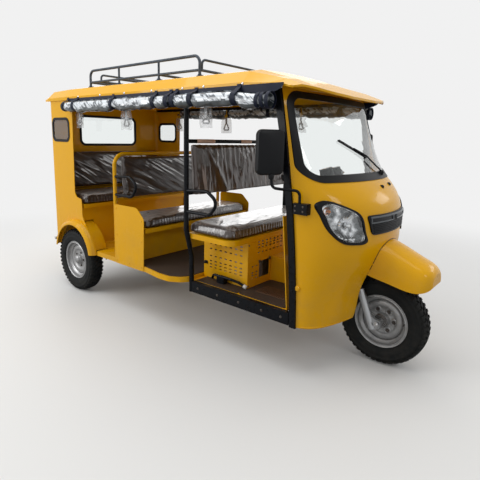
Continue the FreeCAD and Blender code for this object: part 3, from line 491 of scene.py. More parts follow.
def build_materials():
    colours = bpy.context.scene.rickshaw_colours
    build_grain_group()
    build_dust_group()
    build_crinkle_group()
    build_streaks_group()
    MATERIALS.update({
        "yellow_paint": body_paint(colours),
        "black_paint": frame_paint("frame_black", colours.frame, 0.32),
        "rack_paint": frame_paint("rack_grey", colours.rack, 0.36),
        "rim_paint": rim_paint(colours),
        "fork_steel": fork_paint(),
        "bright_steel": metal_paint("bright_steel", (0.62, 0.62, 0.62), 0.22),
        "dark_steel": metal_paint("dark_steel", (0.10, 0.085, 0.075), 0.42, 0.7),
        "spring_steel": metal_paint("spring_steel", (0.05, 0.05, 0.052), 0.5),
        "engine_alloy": metal_paint("engine_alloy", (0.32, 0.32, 0.33), 0.45),
        "tyre": rubber_paint("tyre_rubber", colours.tyre, 0.62, 0.2),
        "mat_rubber": rubber_paint("mat_rubber", colours.mat, 0.55, 0.4),
        "seal_rubber": rubber_paint("seal_rubber", (0.008, 0.008, 0.009), 0.4, 0.05),
        "seat_vinyl": cushion_paint(colours),
        # Front backrest: painted highlights in a pale glint colour along the film's streaks
        "seat_hung": streaked_paint("seat_hung", colours.seat, (0.36, 0.31, 0.30), Size_X=0.5, Size_Y=0.030,
                                    Size_Z=0.24, Turn_X=0.10, Level=0.60, Patch_level=0.42),
        # Rear and middle backrests: the seat colour darkened to 0.6 and dimmer glint colour, as painted shade
        "seat_slanted": streaked_paint("seat_slanted", shade(colours.seat, 0.6), (0.24, 0.21, 0.20),
                                       Size_X=0.5, Size_Y=0.40, Size_Z=0.035, Turn_X=-0.42, Level=0.61,
                                       Patch_level=0.44),
        # Rolled film: a dark base with painted highlights in the film colour along the streaks
        "curtain_film": streaked_paint("curtain_film", (0.07, 0.085, 0.105), colours.film, Size_X=0.075,
                                       Size_Y=0.05, Size_Z=0.020, Turn_Y=0.62, Level=0.43, Patch_level=-1.0),
        "curtain_under": film_paint("curtain_under", (0.018, 0.026, 0.032), (0.10, 0.12, 0.13), 22),
        "curtain_navy": plastic_paint("curtain_navy", colours.curtain, 0.5),
        "tape": plastic_paint("tape", (0.62, 0.43, 0.34), 0.4),
        "black_plastic": plastic_paint("black_plastic", (0.006, 0.0065, 0.008), 0.36),
        "window_glass": glass_paint("window_glass", (0.93, 0.97, 0.96)),
        "lamp_lens": glass_paint("lamp_lens", (0.97, 0.98, 0.98)),
        "red_lens": plastic_paint("red_lens", (0.42, 0.012, 0.01), 0.15),
        "chrome": metal_paint("chrome", (0.8, 0.81, 0.82), 0.06),
        "lamp_chrome": reflector_paint(),
        "amber_lens": plastic_paint("amber_lens", (0.60, 0.16, 0.01), 0.15),
        "white_lens": plastic_paint("white_lens", (0.62, 0.62, 0.60), 0.12),
        "grey_gloss": plastic_paint("grey_gloss", (0.10, 0.11, 0.12), 0.16),
        "white_plastic": plastic_paint("white_plastic", (0.68, 0.68, 0.66), 0.35),
        "amber_plastic": plastic_paint("amber_plastic", (0.55, 0.33, 0.03), 0.3),
        "strap_white": plastic_paint("strap_white", (0.50, 0.51, 0.52), 0.5),
        "foot_rubber": rubber_paint("foot_rubber", (0.085, 0.045, 0.025), 0.5, 0.2),
        "clear_bag": film_bag_paint(),
    })


def paint_frame():
    """Gives each framed node the dressed material of its slot."""
    for item in frame["record"]["subparts"]:
        target = frame["nodes"][item["node"]]
        if not target.material_slots:
            target.data.materials.append(None)
        for slot in target.material_slots:
            slot.material = MATERIALS[item["material_slot"]]


# Mesh helpers

def make_piece(name, verts, faces, material, body=CHASSIS, smooth=True, slot=None):
    """A mesh piece in the frame, riding on a body."""
    mesh = bpy.data.meshes.new(name)
    mesh.from_pydata([tuple(v) for v in verts], [], faces)
    mesh.validate()
    bm = bmesh.new()
    bm.from_mesh(mesh)
    bmesh.ops.recalc_face_normals(bm, faces=bm.faces)
    bm.to_mesh(mesh)
    bm.free()
    piece = bpy.data.objects.new(name, mesh)
    bpy.context.scene.collection.objects.link(piece)
    mesh.materials.append(MATERIALS[material])
    for face in mesh.polygons:
        face.use_smooth = smooth
    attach(piece, body)
    return piece


def add_form(verts, faces, new_verts, new_faces):
    """Appends one form's vertices and faces to a growing list."""
    base = len(verts)
    verts.extend(new_verts)
    faces.extend([tuple(base + i for i in face) for face in new_faces])


def circle(steps, turn=0.0):
    """Cosine and sine of even steps round a circle."""
    angles = [2 * math.pi * step / steps + turn for step in range(steps)]
    return [(math.cos(angle), math.sin(angle)) for angle in angles]


def quads(rows, columns, around=True, closed=False):
    """Faces over points held row by row: around joins a row's ends, closed the last row to the first."""
    faces = []
    for row in range(rows if closed else rows - 1):
        first, second = row * columns, (row + 1) % rows * columns
        for k in range(columns if around else columns - 1):
            after = (k + 1) % columns
            faces.append((first + k, first + after, second + after, second + k))
    return faces


def end_faces(rows, columns):
    """The two faces that shut a tube of points held row by row."""
    return [tuple(reversed(range(columns))), tuple((rows - 1) * columns + k for k in range(columns))]


def revolved(profile, steps):
    """A closed (radius, along) outline turned about the Y axis through the origin."""
    verts = [Vector((radius * c, along, radius * s)) for c, s in circle(steps) for radius, along in profile]
    return verts, quads(steps, len(profile), closed=True)


class Skin:
    """The framed surface of some nodes, which small parts are set on."""

    def __init__(self, *nodes):
        self.trees = []
        for node in nodes:
            mesh = frame["nodes"][node].data
            self.trees.append(BVHTree.FromPolygons([v.co for v in mesh.vertices],
                                                   [tuple(p.vertices) for p in mesh.polygons]))

    def meet(self, start, direction):
        """The first point along a ray and the normal that faces back along it, or None."""
        best = None
        for tree in self.trees:
            spot, normal, _, far = tree.ray_cast(Vector(start), Vector(direction))
            if spot is not None and (best is None or far < best[2]):
                best = (spot, normal if normal.dot(Vector(direction)) < 0 else -normal, far)
        return best and best[:2]

    def front(self, y, z):
        """Where a level ray from ahead of the nose meets the surface."""
        return self.meet((FAR_AHEAD, y, z), (-1, 0, 0))


def lathe(profile, centre, axis, steps=20, turn=0.0):
    """A closed form turned about an axis from (radius, along) rings, with flat ends."""
    spin = Vector((0, 0, 1)).rotation_difference(Vector(axis)).to_matrix()
    verts = [Vector(centre) + spin @ Vector((radius * c, radius * s, along))
             for radius, along in profile for c, s in circle(steps, turn)]
    return verts, quads(len(profile), steps) + end_faces(len(profile), steps)


def turned(profile, centre, axis, steps=20):
    """A lathed form from rings in millimetres."""
    return lathe([(radius * MM, along * MM) for radius, along in profile], centre, axis, steps)


def screw(centre, axis, radius):
    """A domed screw head on its washer."""
    rings = ((1.0, -0.1), (1.0, 0.16), (0.84, 0.2), (0.80, 0.42), (0.62, 0.62), (0.3, 0.72))
    return lathe([(radius * r, radius * a) for r, a in rings], centre, axis, 14)


def hex_bolt(centre, axis, radius):
    """A washer with a hexagon head on it."""
    verts, faces = lathe([(radius, -0.1 * radius), (radius, 0.16 * radius), (0.9 * radius, 0.2 * radius)],
                         centre, axis, 18)
    head = ((0.74, 0.1), (0.74, 0.66), (0.62, 0.78))
    add_form(verts, faces, *lathe([(radius * r, radius * a) for r, a in head], centre, axis, 6, 0.3))
    return verts, faces


def soft_box(low, high, edge, spin=None):
    """A box with rounded edges, turned about its middle."""
    bm = bmesh.new()
    bmesh.ops.create_cube(bm, size=1.0)
    size = Vector(high) - Vector(low)
    middle = (Vector(high) + Vector(low)) / 2
    for vert in bm.verts:
        vert.co = Vector([vert.co[i] * size[i] for i in range(3)])
    bmesh.ops.bevel(bm, geom=list(bm.edges), offset=edge, segments=3, profile=0.5, affect="EDGES")
    bm.verts.index_update()
    turn = spin or Matrix.Identity(3)
    verts = [middle + turn @ vert.co for vert in bm.verts]
    faces = [tuple(vert.index for vert in face.verts) for face in bm.faces]
    bm.free()
    return verts, faces


def directions(points, ring=False):
    """The way a path runs at each of its points."""
    count = len(points)
    ways = []
    for k in range(count):
        before = points[k - 1] if k or ring else points[k]
        after = points[(k + 1) % count] if k + 1 < count or ring else points[k]
        ways.append((after - before).normalized())
    return ways


def bar_along(points, radius, steps=10, ring=False):
    """A round bar through the points, with flat ends or closed into a ring."""
    verts = []
    side = None
    for point, along in zip(points, directions(points, ring)):
        side = along.orthogonal() if side is None else side - along * side.dot(along)
        side.normalize()
        up = along.cross(side)
        verts += [point + radius * (c * side + s * up) for c, s in circle(steps)]
    count = len(points)
    return verts, quads(count, steps, closed=ring) + ([] if ring else end_faces(count, steps))


def band(points, across, width, thickness, ring=False):
    """A flat band through the points, whose width lies along one direction."""
    across = Vector(across)
    verts = []
    for point, along in zip(points, directions(points, ring)):
        normal = along.cross(across).normalized()
        for u, t in ((-0.5, -0.5), (0.5, -0.5), (0.5, 0.5), (-0.5, 0.5)):
            verts.append(point + across * (u * width) + normal * (t * thickness))
    count = len(points)
    return verts, quads(count, 4, closed=ring) + ([] if ring else end_faces(count, 4))


def cut_out(piece, verts, faces):
    """Cuts closed forms out of a piece."""
    mesh = bpy.data.meshes.new("cutter")
    mesh.from_pydata([tuple(v) for v in verts], [], faces)
    tool = bpy.data.objects.new("cutter", mesh)
    bpy.context.scene.collection.objects.link(tool)
    cutter = piece.modifiers.new("windows", "BOOLEAN")
    cutter.operation = "DIFFERENCE"
    cutter.solver = "EXACT"
    cutter.object = tool
    bpy.context.view_layer.update()
    apply_modifiers(piece)
    bpy.data.objects.remove(tool)
    bpy.data.meshes.remove(mesh)


def gathered(forms):
    """Joins a list of forms into one list of vertices and one of faces."""
    verts = []
    faces = []
    for form in forms:
        add_form(verts, faces, *form)
    return verts, faces


def trim(name, forms, material, body=CHASSIS, degrees=35, slot=None):
    """One piece made of many small forms, crisp at their edges."""
    piece = make_piece(name, *gathered(forms), material, body, slot=slot)
    mark_sharp(piece, degrees)
    return piece


# Tyres

def tread_block(angle, span, y0, y1, slant, base, top_radius):
    """One lug: a box wrapped on the tread, leaning by slant across its width."""
    verts = []
    for layer in (0, 1):
        for k in range(3):
            y = y0 + (y1 - y0) * k / 2
            lean = slant * (k / 2 - 0.5)
            radius = (top_radius(y) if layer else base(y))
            shrink = 0.82 if layer else 1.0
            for side in (-0.5, 0.5):
                a = angle + lean + span * side * shrink
                verts.append(Vector((radius * math.cos(a), y, radius * math.sin(a))))
    faces = []
    for k in range(2):
        low, high = 2 * k, 6 + 2 * k
        faces.append((high, high + 1, high + 3, high + 2))
        faces.append((low, low + 2, high + 2, high))
        faces.append((low + 1, high + 1, high + 3, low + 3))
    faces.append((0, 1, 7, 6))
    faces.append((4, 10, 11, 5))
    return verts, faces


def build_tyre(node, body):
    """Carcass with bead and sidewall rings, and lugs in four rows."""
    settings = bpy.context.scene.rickshaw_tyres
    low, high = node_box(node)
    centre = (low + high) / 2
    radius = (high.z - low.z) / 2
    half = (high.y - low.y) / 2
    depth = settings.tread_depth
    bead = radius - 0.1195
    crown = radius - depth

    def tread_radius(y):
        return radius - 0.008 * (y / half) ** 2 - 0.012 * max(0.0, abs(y) / half - 0.72) ** 1.2 * 4

    def carcass_radius(y):
        return tread_radius(y) - depth

    side = [(bead, 0.0430), (bead + 0.0146, 0.0452), (bead + 0.0150, 0.0500), (bead + 0.0166, 0.0528),
            (bead + 0.020, 0.0550), (bead + 0.0222, 0.0552), (bead + 0.0240, 0.0578), (bead + 0.034, 0.0605),
            (bead + 0.050, half - 0.0008), (bead + 0.053, half), (bead + 0.056, half - 0.0008),
            (bead + 0.062, half - 0.001), (bead + 0.080, half - 0.004), (bead + 0.083, half - 0.0025),
            (bead + 0.086, half - 0.0045), (crown - 0.020, half - 0.008), (crown - 0.010, half - 0.0125)]
    across = [(carcass_radius(half * t), half * t) for t in (0.72, 0.5, 0.25, 0.0)]
    right = side + across
    profile = right + [(r, -y) for r, y in reversed(right[:-1])]
    profile += [(bead - 0.001, -0.03), (bead - 0.001, 0.03)]
    verts, faces = revolved(profile, 96)
    pitch = 2 * math.pi / settings.lugs
    rows = (
        # inner edge, outer edge, shift in pitches, length in pitches, slant in pitches
        (0.02, 0.36, 0.0, 0.62, 0.30),
        (-0.36, -0.02, 0.5, 0.62, 0.30),
        (0.45, 0.90, 0.25, 0.58, -0.16),
        (-0.90, -0.45, 0.75, 0.58, 0.16),
    )
    for k in range(settings.lugs):
        for inner, outer, shift, span, slant in rows:
            block = tread_block(pitch * (k + shift), pitch * span, inner * half, outer * half,
                                slant * pitch, lambda y: carcass_radius(y) - 0.002, tread_radius)
            add_form(verts, faces, *block)
    verts = [v + centre for v in verts]
    piece = make_piece(node + "_tread", verts, faces, "tyre", body)
    mark_sharp(piece, 40)
    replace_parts(piece, node)


def mark_sharp(piece, degrees):
    """Smooth shading that stays crisp at edges sharper than the angle."""
    mesh = piece.data
    bm = bmesh.new()
    bm.from_mesh(mesh)
    for edge in bm.edges:
        if len(edge.link_faces) == 2 and edge.calc_face_angle(0) > math.radians(degrees):
            edge.smooth = False
    bm.to_mesh(mesh)
    bm.free()


class RICKSHAW_OT_tyres(bpy.types.Operator):
    """Build the three tyres with their tread"""
    bl_idname = "rickshaw.tyres"
    bl_label = "Tyres"

    def execute(self, context):
        for node, body in (("front_tyre", "front_wheel"), ("rear_tyre_left", "rear_wheel_left"),
                           ("rear_tyre_right", "rear_wheel_right")):
            build_tyre(node, body)
        return {"FINISHED"}


class RICKSHAW_OT_paint(bpy.types.Operator):
    """Make the materials and paint the framed pieces"""
    bl_idname = "rickshaw.paint"
    bl_label = "Paint"

    def execute(self, context):
        build_materials()
        paint_frame()
        return {"FINISHED"}


# Padding

class Pad(NamedTuple):
    """One seat pad: which solid of which node it stands for, its filling, and its film's folds."""
    name: str
    node: str
    order: int
    fill: float
    film: str
    # How far a fold of the film runs sideways for each length that it falls
    slant: float = 0.0
    # How much further up the film reaches than the framed pad, to its bar
    lift: float = 0.0


PADS = (
    Pad("rear_cushion", "seat_cushions", 0, 0.8, "seat_vinyl"),
    Pad("middle_cushion", "seat_cushions", 1, 0.8, "seat_vinyl"),
    Pad("front_cushion", "seat_cushions", 2, 0.8, "seat_vinyl"),
    Pad("rear_backrest", "seat_backrests", 0, 0.6, "seat_slanted", 1.5),
    Pad("middle_backrest", "seat_backrests", 1, 0.6, "seat_slanted", 2.0, 0.024),
    Pad("front_backrest", "seat_backrests", 2, 0.6, "seat_hung", 0.15, 0.016),
)
# The long bright fold across the front backrest, from its top to its hem
LONG_FOLD = (at(1392, -430, 1290), at(1392, -245, 985))


def solids_of(node):
    """The separate solids of a framed node, from back to front, as lists of vertices and faces."""
    mesh = frame["nodes"][node].data
    bm = bmesh.new()
    bm.from_mesh(mesh)
    bmesh.ops.remove_doubles(bm, verts=bm.verts, dist=1e-6)
    bm.verts.index_update()
    bm.verts.ensure_lookup_table()
    solid_of = {}
    solids = []
    for first in bm.verts:
        if first.index in solid_of:
            continue
        order = len(solids)
        solid_of[first.index] = order
        solids.append(([], []))
        waiting = [first]
        while waiting:
            vert = waiting.pop()
            for edge in vert.link_edges:
                other = edge.other_vert(vert)
                if other.index not in solid_of:
                    solid_of[other.index] = order
                    waiting.append(other)
    place = {}
    for vert in bm.verts:
        verts = solids[solid_of[vert.index]][0]
        place[vert.index] = len(verts)
        verts.append(vert.co.copy())
    for face in bm.faces:
        solids[solid_of[face.verts[0].index]][1].append(tuple(place[v.index] for v in face.verts))
    bm.free()
    return sorted(solids, key=lambda solid: sum(v.x for v in solid[0]) / len(solid[0]))


def limits(verts):
    """The lowest and highest corner of some points."""
    return tuple(Vector([pick(v[i] for v in verts) for i in range(3)]) for pick in (min, max))


def apply_modifiers(piece):
    """Keeps the shape that the modifiers give, and takes them off."""
    graph = bpy.context.evaluated_depsgraph_get()
    mesh = bpy.data.meshes.new_from_object(piece.evaluated_get(graph))
    piece.modifiers.clear()
    piece.data = mesh


def inflate(piece, rest_level, cap):
    """Swells a closed pad by cloth pressure, moving no point further than the cap."""
    before = [v.co.copy() for v in piece.data.vertices]
    held = piece.vertex_groups.new(name="held")
    held.add([i for i, co in enumerate(before) if co.z < rest_level], 1.0, "REPLACE")
    cloth = piece.modifiers.new("padding", "CLOTH")
    cloth.settings.quality = 4
    cloth.settings.vertex_group_mass = "held"
    cloth.settings.use_pressure = True
    cloth.settings.uniform_pressure_force = 4.0
    cloth.settings.effector_weights.gravity = 0.0
    cloth.collision_settings.use_collision = False
    cloth.point_cache.frame_start = 1
    cloth.point_cache.frame_end = 20
    for step in range(1, 21):
        bpy.context.scene.frame_set(step)
    apply_modifiers(piece)
    piece.vertex_groups.clear()
    for vert, start in zip(piece.data.vertices, before):
        shift = vert.co - start
        if shift.length > cap:
            vert.co = start + shift * (cap / shift.length)
    bpy.context.scene.frame_set(1)


def ridged(place, scale, octaves=3):
    """Sharp folds from 0 to 1, with a crest where the noise changes sign."""
    value = 0.0
    weight = 0.6
    spot = Vector(place) * scale
    for _ in range(octaves):
        value += weight * (1.0 - abs(noise.noise(spot)) * 2.2)
        spot = spot * 2.1 + Vector((5.2, 1.3, 8.1))
        weight *= 0.45
    return max(0.0, value)


def cushion_wrinkle(pad, place, normal, low, high):
    """Gathers down the skirt and a few long creases across the top, as shares of a crease's height."""
    skirt = 1.0 - min(1.0, abs(normal.z) * 1.5)
    depth = (high.z - place.z) / (high.z - low.z)
    along = place.x + place.y
    gather = 1.0 - abs(math.sin(along * 105 + 2.2 * noise.noise(place * 8.0)))
    gather *= skirt * (0.5 + 0.9 * depth) * (0.6 + 0.9 * abs(noise.noise(place * 5.0)))
    top = max(0.0, normal.z)
    crease = ridged((place.x * 3.4 + place.y * 1.1, place.y * 0.9 - place.x * 0.3, 3.0 * pad.order), 3.2, 2)
    edge = min(1.0, max(0.0, (place.x - low.x) / (high.x - low.x)) ** 2 + 0.25)
    return 1.9 * gather - 0.7 * skirt + top * edge * 5.0 * max(0.0, crease - 0.56)


def backrest_wrinkle(pad, place, normal, low, high):
    """Hanging folds of the film, as shares of a crease's height."""
    drop = (high.z - place.z) / (high.z - low.z)
    across = place.y + pad.slant * place.z
    fold = ridged((across * 4.5 / (1.0 + pad.slant), place.z * 1.6, 2.0 * pad.order), 2.2)
    fine = ridged((across * 21 / (1.0 + 0.6 * pad.slant), place.z * 3.0, 2.0 * pad.order), 1.5, 2)
    total = 2.1 * fold + 0.8 * fine - 1.3
    if pad.slant < 1.0:
        ripple = noise.noise(Vector((place.y * 7.0, place.z * 2.0, 0)))
        pleat = 1.0 - abs(math.sin(place.y * 62 + 2.4 * ripple))
        total += 1.9 * pleat * max(0.0, 1.0 - 1.5 * drop)
        start, end = LONG_FOLD
        way = end - start
        offset = Vector((0, place.y - start.y, place.z - start.z))
        share = min(1.0, max(0.0, offset.dot(way) / way.length_squared))
        far = (offset - Vector((0, way.y, way.z)) * share).length
        total += 2.4 * math.exp(-(far / (0.012 + 0.022 * share)) ** 2)
    return abs(normal.x) * total


def build_pad(pad):
    settings = bpy.context.scene.rickshaw_seats
    verts, faces = solids_of(pad.node)[pad.order]
    low, high = limits(verts)
    centre = (low + high) / 2
    inset = 0.006
    shrink = Vector([1 - 2 * inset / (high[i] - low[i]) for i in range(3)])
    verts = [centre + Vector([(v[i] - centre[i]) * shrink[i] for i in range(3)]) for v in verts]
    for vert in verts:
        vert.z += pad.lift * (vert.z - low.z) / (high.z - low.z)
    piece = make_piece(pad.name, verts, faces, pad.film, slot="seat_vinyl")
    remesh = piece.modifiers.new("squares", "REMESH")
    remesh.mode = "VOXEL"
    remesh.voxel_size = settings.voxel
    apply_modifiers(piece)
    inflate(piece, low.z + inset + settings.voxel * 0.8, settings.crown)
    divide = piece.modifiers.new("rounding", "SUBSURF")
    divide.levels = 1
    divide.render_levels = 1
    apply_modifiers(piece)
    wrinkle = cushion_wrinkle if pad.node == "seat_cushions" else backrest_wrinkle
    mesh = piece.data
    normals = [Vector(v.normal) for v in mesh.vertices]
    for vert, normal in zip(mesh.vertices, normals):
        vert.co += normal * settings.wrinkle * wrinkle(pad, Vector(vert.co), normal, low, high)
    for face in mesh.polygons:
        face.use_smooth = True
    return piece


class RICKSHAW_OT_seats(bpy.types.Operator):
    """Build the cushions and backrests in their wrinkled film"""
    bl_idname = "rickshaw.seats"
    bl_label = "Seats"

    def execute(self, context):
        pieces = [build_pad(pad) for pad in PADS]
        for node in ("seat_cushions", "seat_backrests"):
            for piece, pad in zip(pieces, PADS):
                if pad.node == node:
                    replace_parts(piece, node)
        tapes = []
        for start, end in ((-497, -324), (-40, 84)):
            reach = (end - start) * MM
            tapes.append(lathe([(0.0135, 0.0), (0.0140, 0.001), (0.0140, reach - 0.001), (0.0135, reach)],
                               at(1364, start, 1334), (0, 1, 0), 24))
        trim("backrest_tape", tapes, "tape", slot="black_plastic")
        return {"FINISHED"}


# Rolled curtains

ROLL_TURNS = 5
ROLL_STEPS = 26
ROLL_CORE = 0.013
ROLL_RADIUS = 0.0425
EAVE_Y = 0.6200
EAVE_Z = 1.6505


class Strap(NamedTuple):
    """One band round a rolled curtain, with the tab that hangs it from the eave."""
    x: float
    width: float
    radius: float = 0.0400
    lean: float = 0.0
    tab: bool = True


STRAPS = {
    "rear": (Strap(-18, 0.034), Strap(130, 0.030), Strap(660, 0.030, lean=-30),
             Strap(1130, 0.032, lean=-16), Strap(1262, 0.036)),
    "front": (Strap(1318, 0.034), Strap(1480, 0.036, lean=10), Strap(1830, 0.038),
              Strap(1992, 0.022, 0.0415, tab=False), Strap(2026, 0.022, 0.0430, tab=False),
              Strap(2060, 0.022, 0.0440, tab=False)),
}


def droop(x):
    """How far the curtain has sunk towards the nose, at an x in millimetres from the rear axle."""
    share = min(1.0, max(0.0, (x - 1720) / 330))
    return 0.025 * share * share * (3 - 2 * share)


class Roll:
    """The place of one rolled curtain and its straps."""

    def __init__(self, verts):
        self.low, self.high = limits(verts)
        self.side = 1.0 if self.low.y > 0 else -1.0
        self.place = "rear" if self.low.x < 0 else "front"
        self.label = side_name(self.side)
        self.straps = STRAPS[self.place]

    def centre(self, x):
        """The roll's middle at an x in millimetres from the rear axle."""
        middle = (self.low + self.high) / 2
        return Vector((AXLE_X + x * MM, middle.y, middle.z - 0.002 - droop(x)))

    def pinch(self, x):
        """How far a strap squeezes the roll there, from 0 to 1."""
        nearest = min(abs(x - strap.x) for strap in self.straps)
        return math.exp(-(nearest / 34) ** 2)


def loose_fold(x, angle, phase):
    """How far the loose outer turn stands off: diagonal folds, and a bulge that hangs below."""
    place = Vector((x * 0.011 + 0.55 * angle + phase, 0.8 * math.cos(angle), 0.8 * math.sin(angle)))
    hang = max(0.0, -math.sin(angle)) * (0.7 + noise.noise(Vector((x * 0.008, phase, 4.0))))
    return 0.0095 * (ridged(place, 1.0) - 0.5) + 0.0090 * hang


def build_roll(roll, phase):
    """One curtain: a spiral sheet of film, with a darker film on the faces that lie below a wavy border."""
    start = (roll.low.x - AXLE_X) / MM
    end = (roll.high.x - AXLE_X) / MM
    rings = int((end - start) / 8.0)
    count = ROLL_TURNS * ROLL_STEPS + 1
    verts = []
    under = []
    for ring in range(rings + 1):
        x = start + (end - start) * ring / rings
        tight = roll.pinch(x)
        centre = roll.centre(x) - Vector((0, 0, 0.004 * (1 - tight)))
        # Faces whose direction from the roll's middle lies below this wavy border take the darker film
        border = -0.32 + 0.5 * noise.noise(Vector((x * 0.007, phase, 0)))
        border += 0.25 * noise.noise(Vector((x * 0.03, 0, 9)))
        for step in range(count):
            turn = step / ROLL_STEPS
            angle = math.pi / 2 - 2 * math.pi * turn * roll.side
            radius = (ROLL_CORE + (ROLL_RADIUS - ROLL_CORE) * turn / ROLL_TURNS) * (1 - 0.12 * tight)
            loose = min(1.0, 3.0 * max(0.0, turn - (ROLL_TURNS - 1))) * (1 - 0.85 * tight)
            radius += loose * loose_fold(x, angle, phase)
            verts.append(centre + Vector((0, radius * math.cos(angle), radius * math.sin(angle))))
            if ring < rings and step < count - 1:
                under.append(math.sin(angle) < border)
    piece = make_piece(roll.place + "_curtain_" + roll.label, verts, quads(rings + 1, count, around=False),
                       "curtain_film")
    piece.data.materials.append(MATERIALS["curtain_under"])
    for face, below in zip(piece.data.polygons, under):
        face.material_index = 1 if below else 0
    return piece


def build_straps(roll):
    """Bands round one roll, with the tabs that hang it from the eave."""
    forms = []
    for strap in roll.straps:
        centre = roll.centre(strap.x)
        ring = []
        for k in range(36):
            angle = 2 * math.pi * k / 36
            radius = strap.radius + 0.0009 * math.sin(2 * angle + strap.x)
            ring.append(centre + Vector((0.002 * math.sin(angle + strap.x), radius * math.cos(angle),
                                         radius * math.sin(angle))))
        forms.append(band(ring, (1, 0, 0), strap.width, 0.0026, ring=True))
        if strap.tab:
            lean = strap.lean * MM
            path = [centre + Vector((0, roll.side * 0.0150, 0.0375)),
                    Vector((centre.x + 0.5 * lean, roll.side * (EAVE_Y + 0.0160), 1.632)),
                    Vector((centre.x + lean, roll.side * (EAVE_Y + 0.0032), 1.645)),
                    Vector((centre.x + 1.2 * lean, roll.side * (EAVE_Y + 0.0030), 1.658))]
            forms.append(band(smoothed(path), (1, 0, 0), strap.width * 0.8, 0.0020))
    trim(roll.place + "_curtain_straps_" + roll.label, forms, "curtain_navy", slot="curtain_film")


def build_eave_strip(side):
    """The curtains' navy edge, tacked under the eave and falling to the rolls."""
    start, end = -24, 2128
    columns = 269
    rows = 6
    verts = []
    for column in range(columns + 1):
        x = start + (end - start) * column / columns
        scallop = 0.0035 * math.sin(x * 0.0125) + 0.003 * noise.noise(Vector((x * 0.02, side, 0)))
        end_share = min(1.0, max(0.0, (end - x) / 90))
        fall = (EAVE_Z - (1.619 - 0.9 * droop(x) + scallop)) * (0.25 + 0.75 * math.sqrt(end_share))
        for row in range(rows + 1):
            share = row / rows
            wave = 0.0030 * share * noise.noise(Vector((x * 0.017, share * 1.5, side)))
            verts.append(Vector((AXLE_X + x * MM, side * (EAVE_Y + 0.0008 + 0.003 * share + abs(wave)),
                                 EAVE_Z - fall * share)))
    piece = make_piece("eave_strip_" + side_name(side), verts, quads(columns + 1, rows + 1, around=False),
                       "curtain_navy", slot="curtain_film")


class RICKSHAW_OT_curtains(bpy.types.Operator):
    """Roll the side curtains up under the roof's edge"""
    bl_idname = "rickshaw.curtains"
    bl_label = "Curtains"

    def execute(self, context):
        for index, (verts, _) in enumerate(solids_of("curtain_rolls")):
            roll = Roll(verts)
            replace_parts(build_roll(roll, index * 7.3), "curtain_rolls")
            build_straps(roll)
        for side in (-1, 1):
            build_eave_strip(side)
        return {"FINISHED"}


# Wheel rims

# Radius and distance out from the wheel's middle in millimetres: tyre's seat, lip and well
FLANGE = ((152.6, 30), (153, 42.8), (154.8, 45.2), (165.5, 46), (166.8, 47.8),
          (165.8, 49.5), (163.6, 49.9), (160.8, 48.8), (158.8, 46.4), (156.2, 45.6),
          (153.6, 47), (151.2, 49.2), (149.4, 48.8), (148.6, 46.2), (148.4, 33),
          (147, 26.2), (144, 22.6), (133, 16), (129.6, 14), (128.2, 11))
WELL = ((132, 12.8), (134, 15.2), (152.6, 25.6))
# The pressed disc's visible face from the well to the hub, and its back
DISC_FACE = ((128.5, 1), (127.2, 6.2), (123.5, 12.2), (118, 16.6), (111, 19),
             (102, 20), (93, 19.3), (87, 16.5), (82, 12.2), (77, 9.8),
             (70, 9.2), (50, 9.2), (46.6, 10.4), (44.2, 14), (42.8, 24))
DISC_BACK = ((77, 4.8), (82, 7.5), (88, 13), (94, 15.2), (102, 15.8),
             (111, 14.6), (120, 9.2), (124.8, 2), (128.4, -6))
WINDOW_RING = 0.101
RIM_STEPS = 120


class Wheel(NamedTuple):
    """What sets one wheel's rim apart from the others, in millimetres."""
    node: str
    body: str
    outward: int
    hub_inner: float
    hub_outer: float
    bore: float
    windows: int
    bolts: int
    bolt_ring: float
    bosses: bool


WHEELS = (
    Wheel("front_rim", "front_wheel", -1, -48, 40, 9, 6, 6, 70, True),
    Wheel("rear_rim_left", "rear_wheel_left", 1, -20, 34, 16.5, 9, 5, 60, False),
    Wheel("rear_rim_right", "rear_wheel_right", -1, -20, 34, 16.5, 9, 5, 60, False),
)


def oval_prism(angle, ring, along, across, depth, steps=24):
    """A closed oval bar through the disc, for cutting a window."""
    outward = Vector((math.cos(angle), 0, math.sin(angle)))
    sideways = Vector((-math.sin(angle), 0, math.cos(angle)))
    verts = [outward * (ring + across * c) + sideways * (along * s) + Vector((0, y, 0))
             for y in (-depth, depth) for c, s in circle(steps)]
    return verts, end_faces(2, steps) + quads(2, steps)


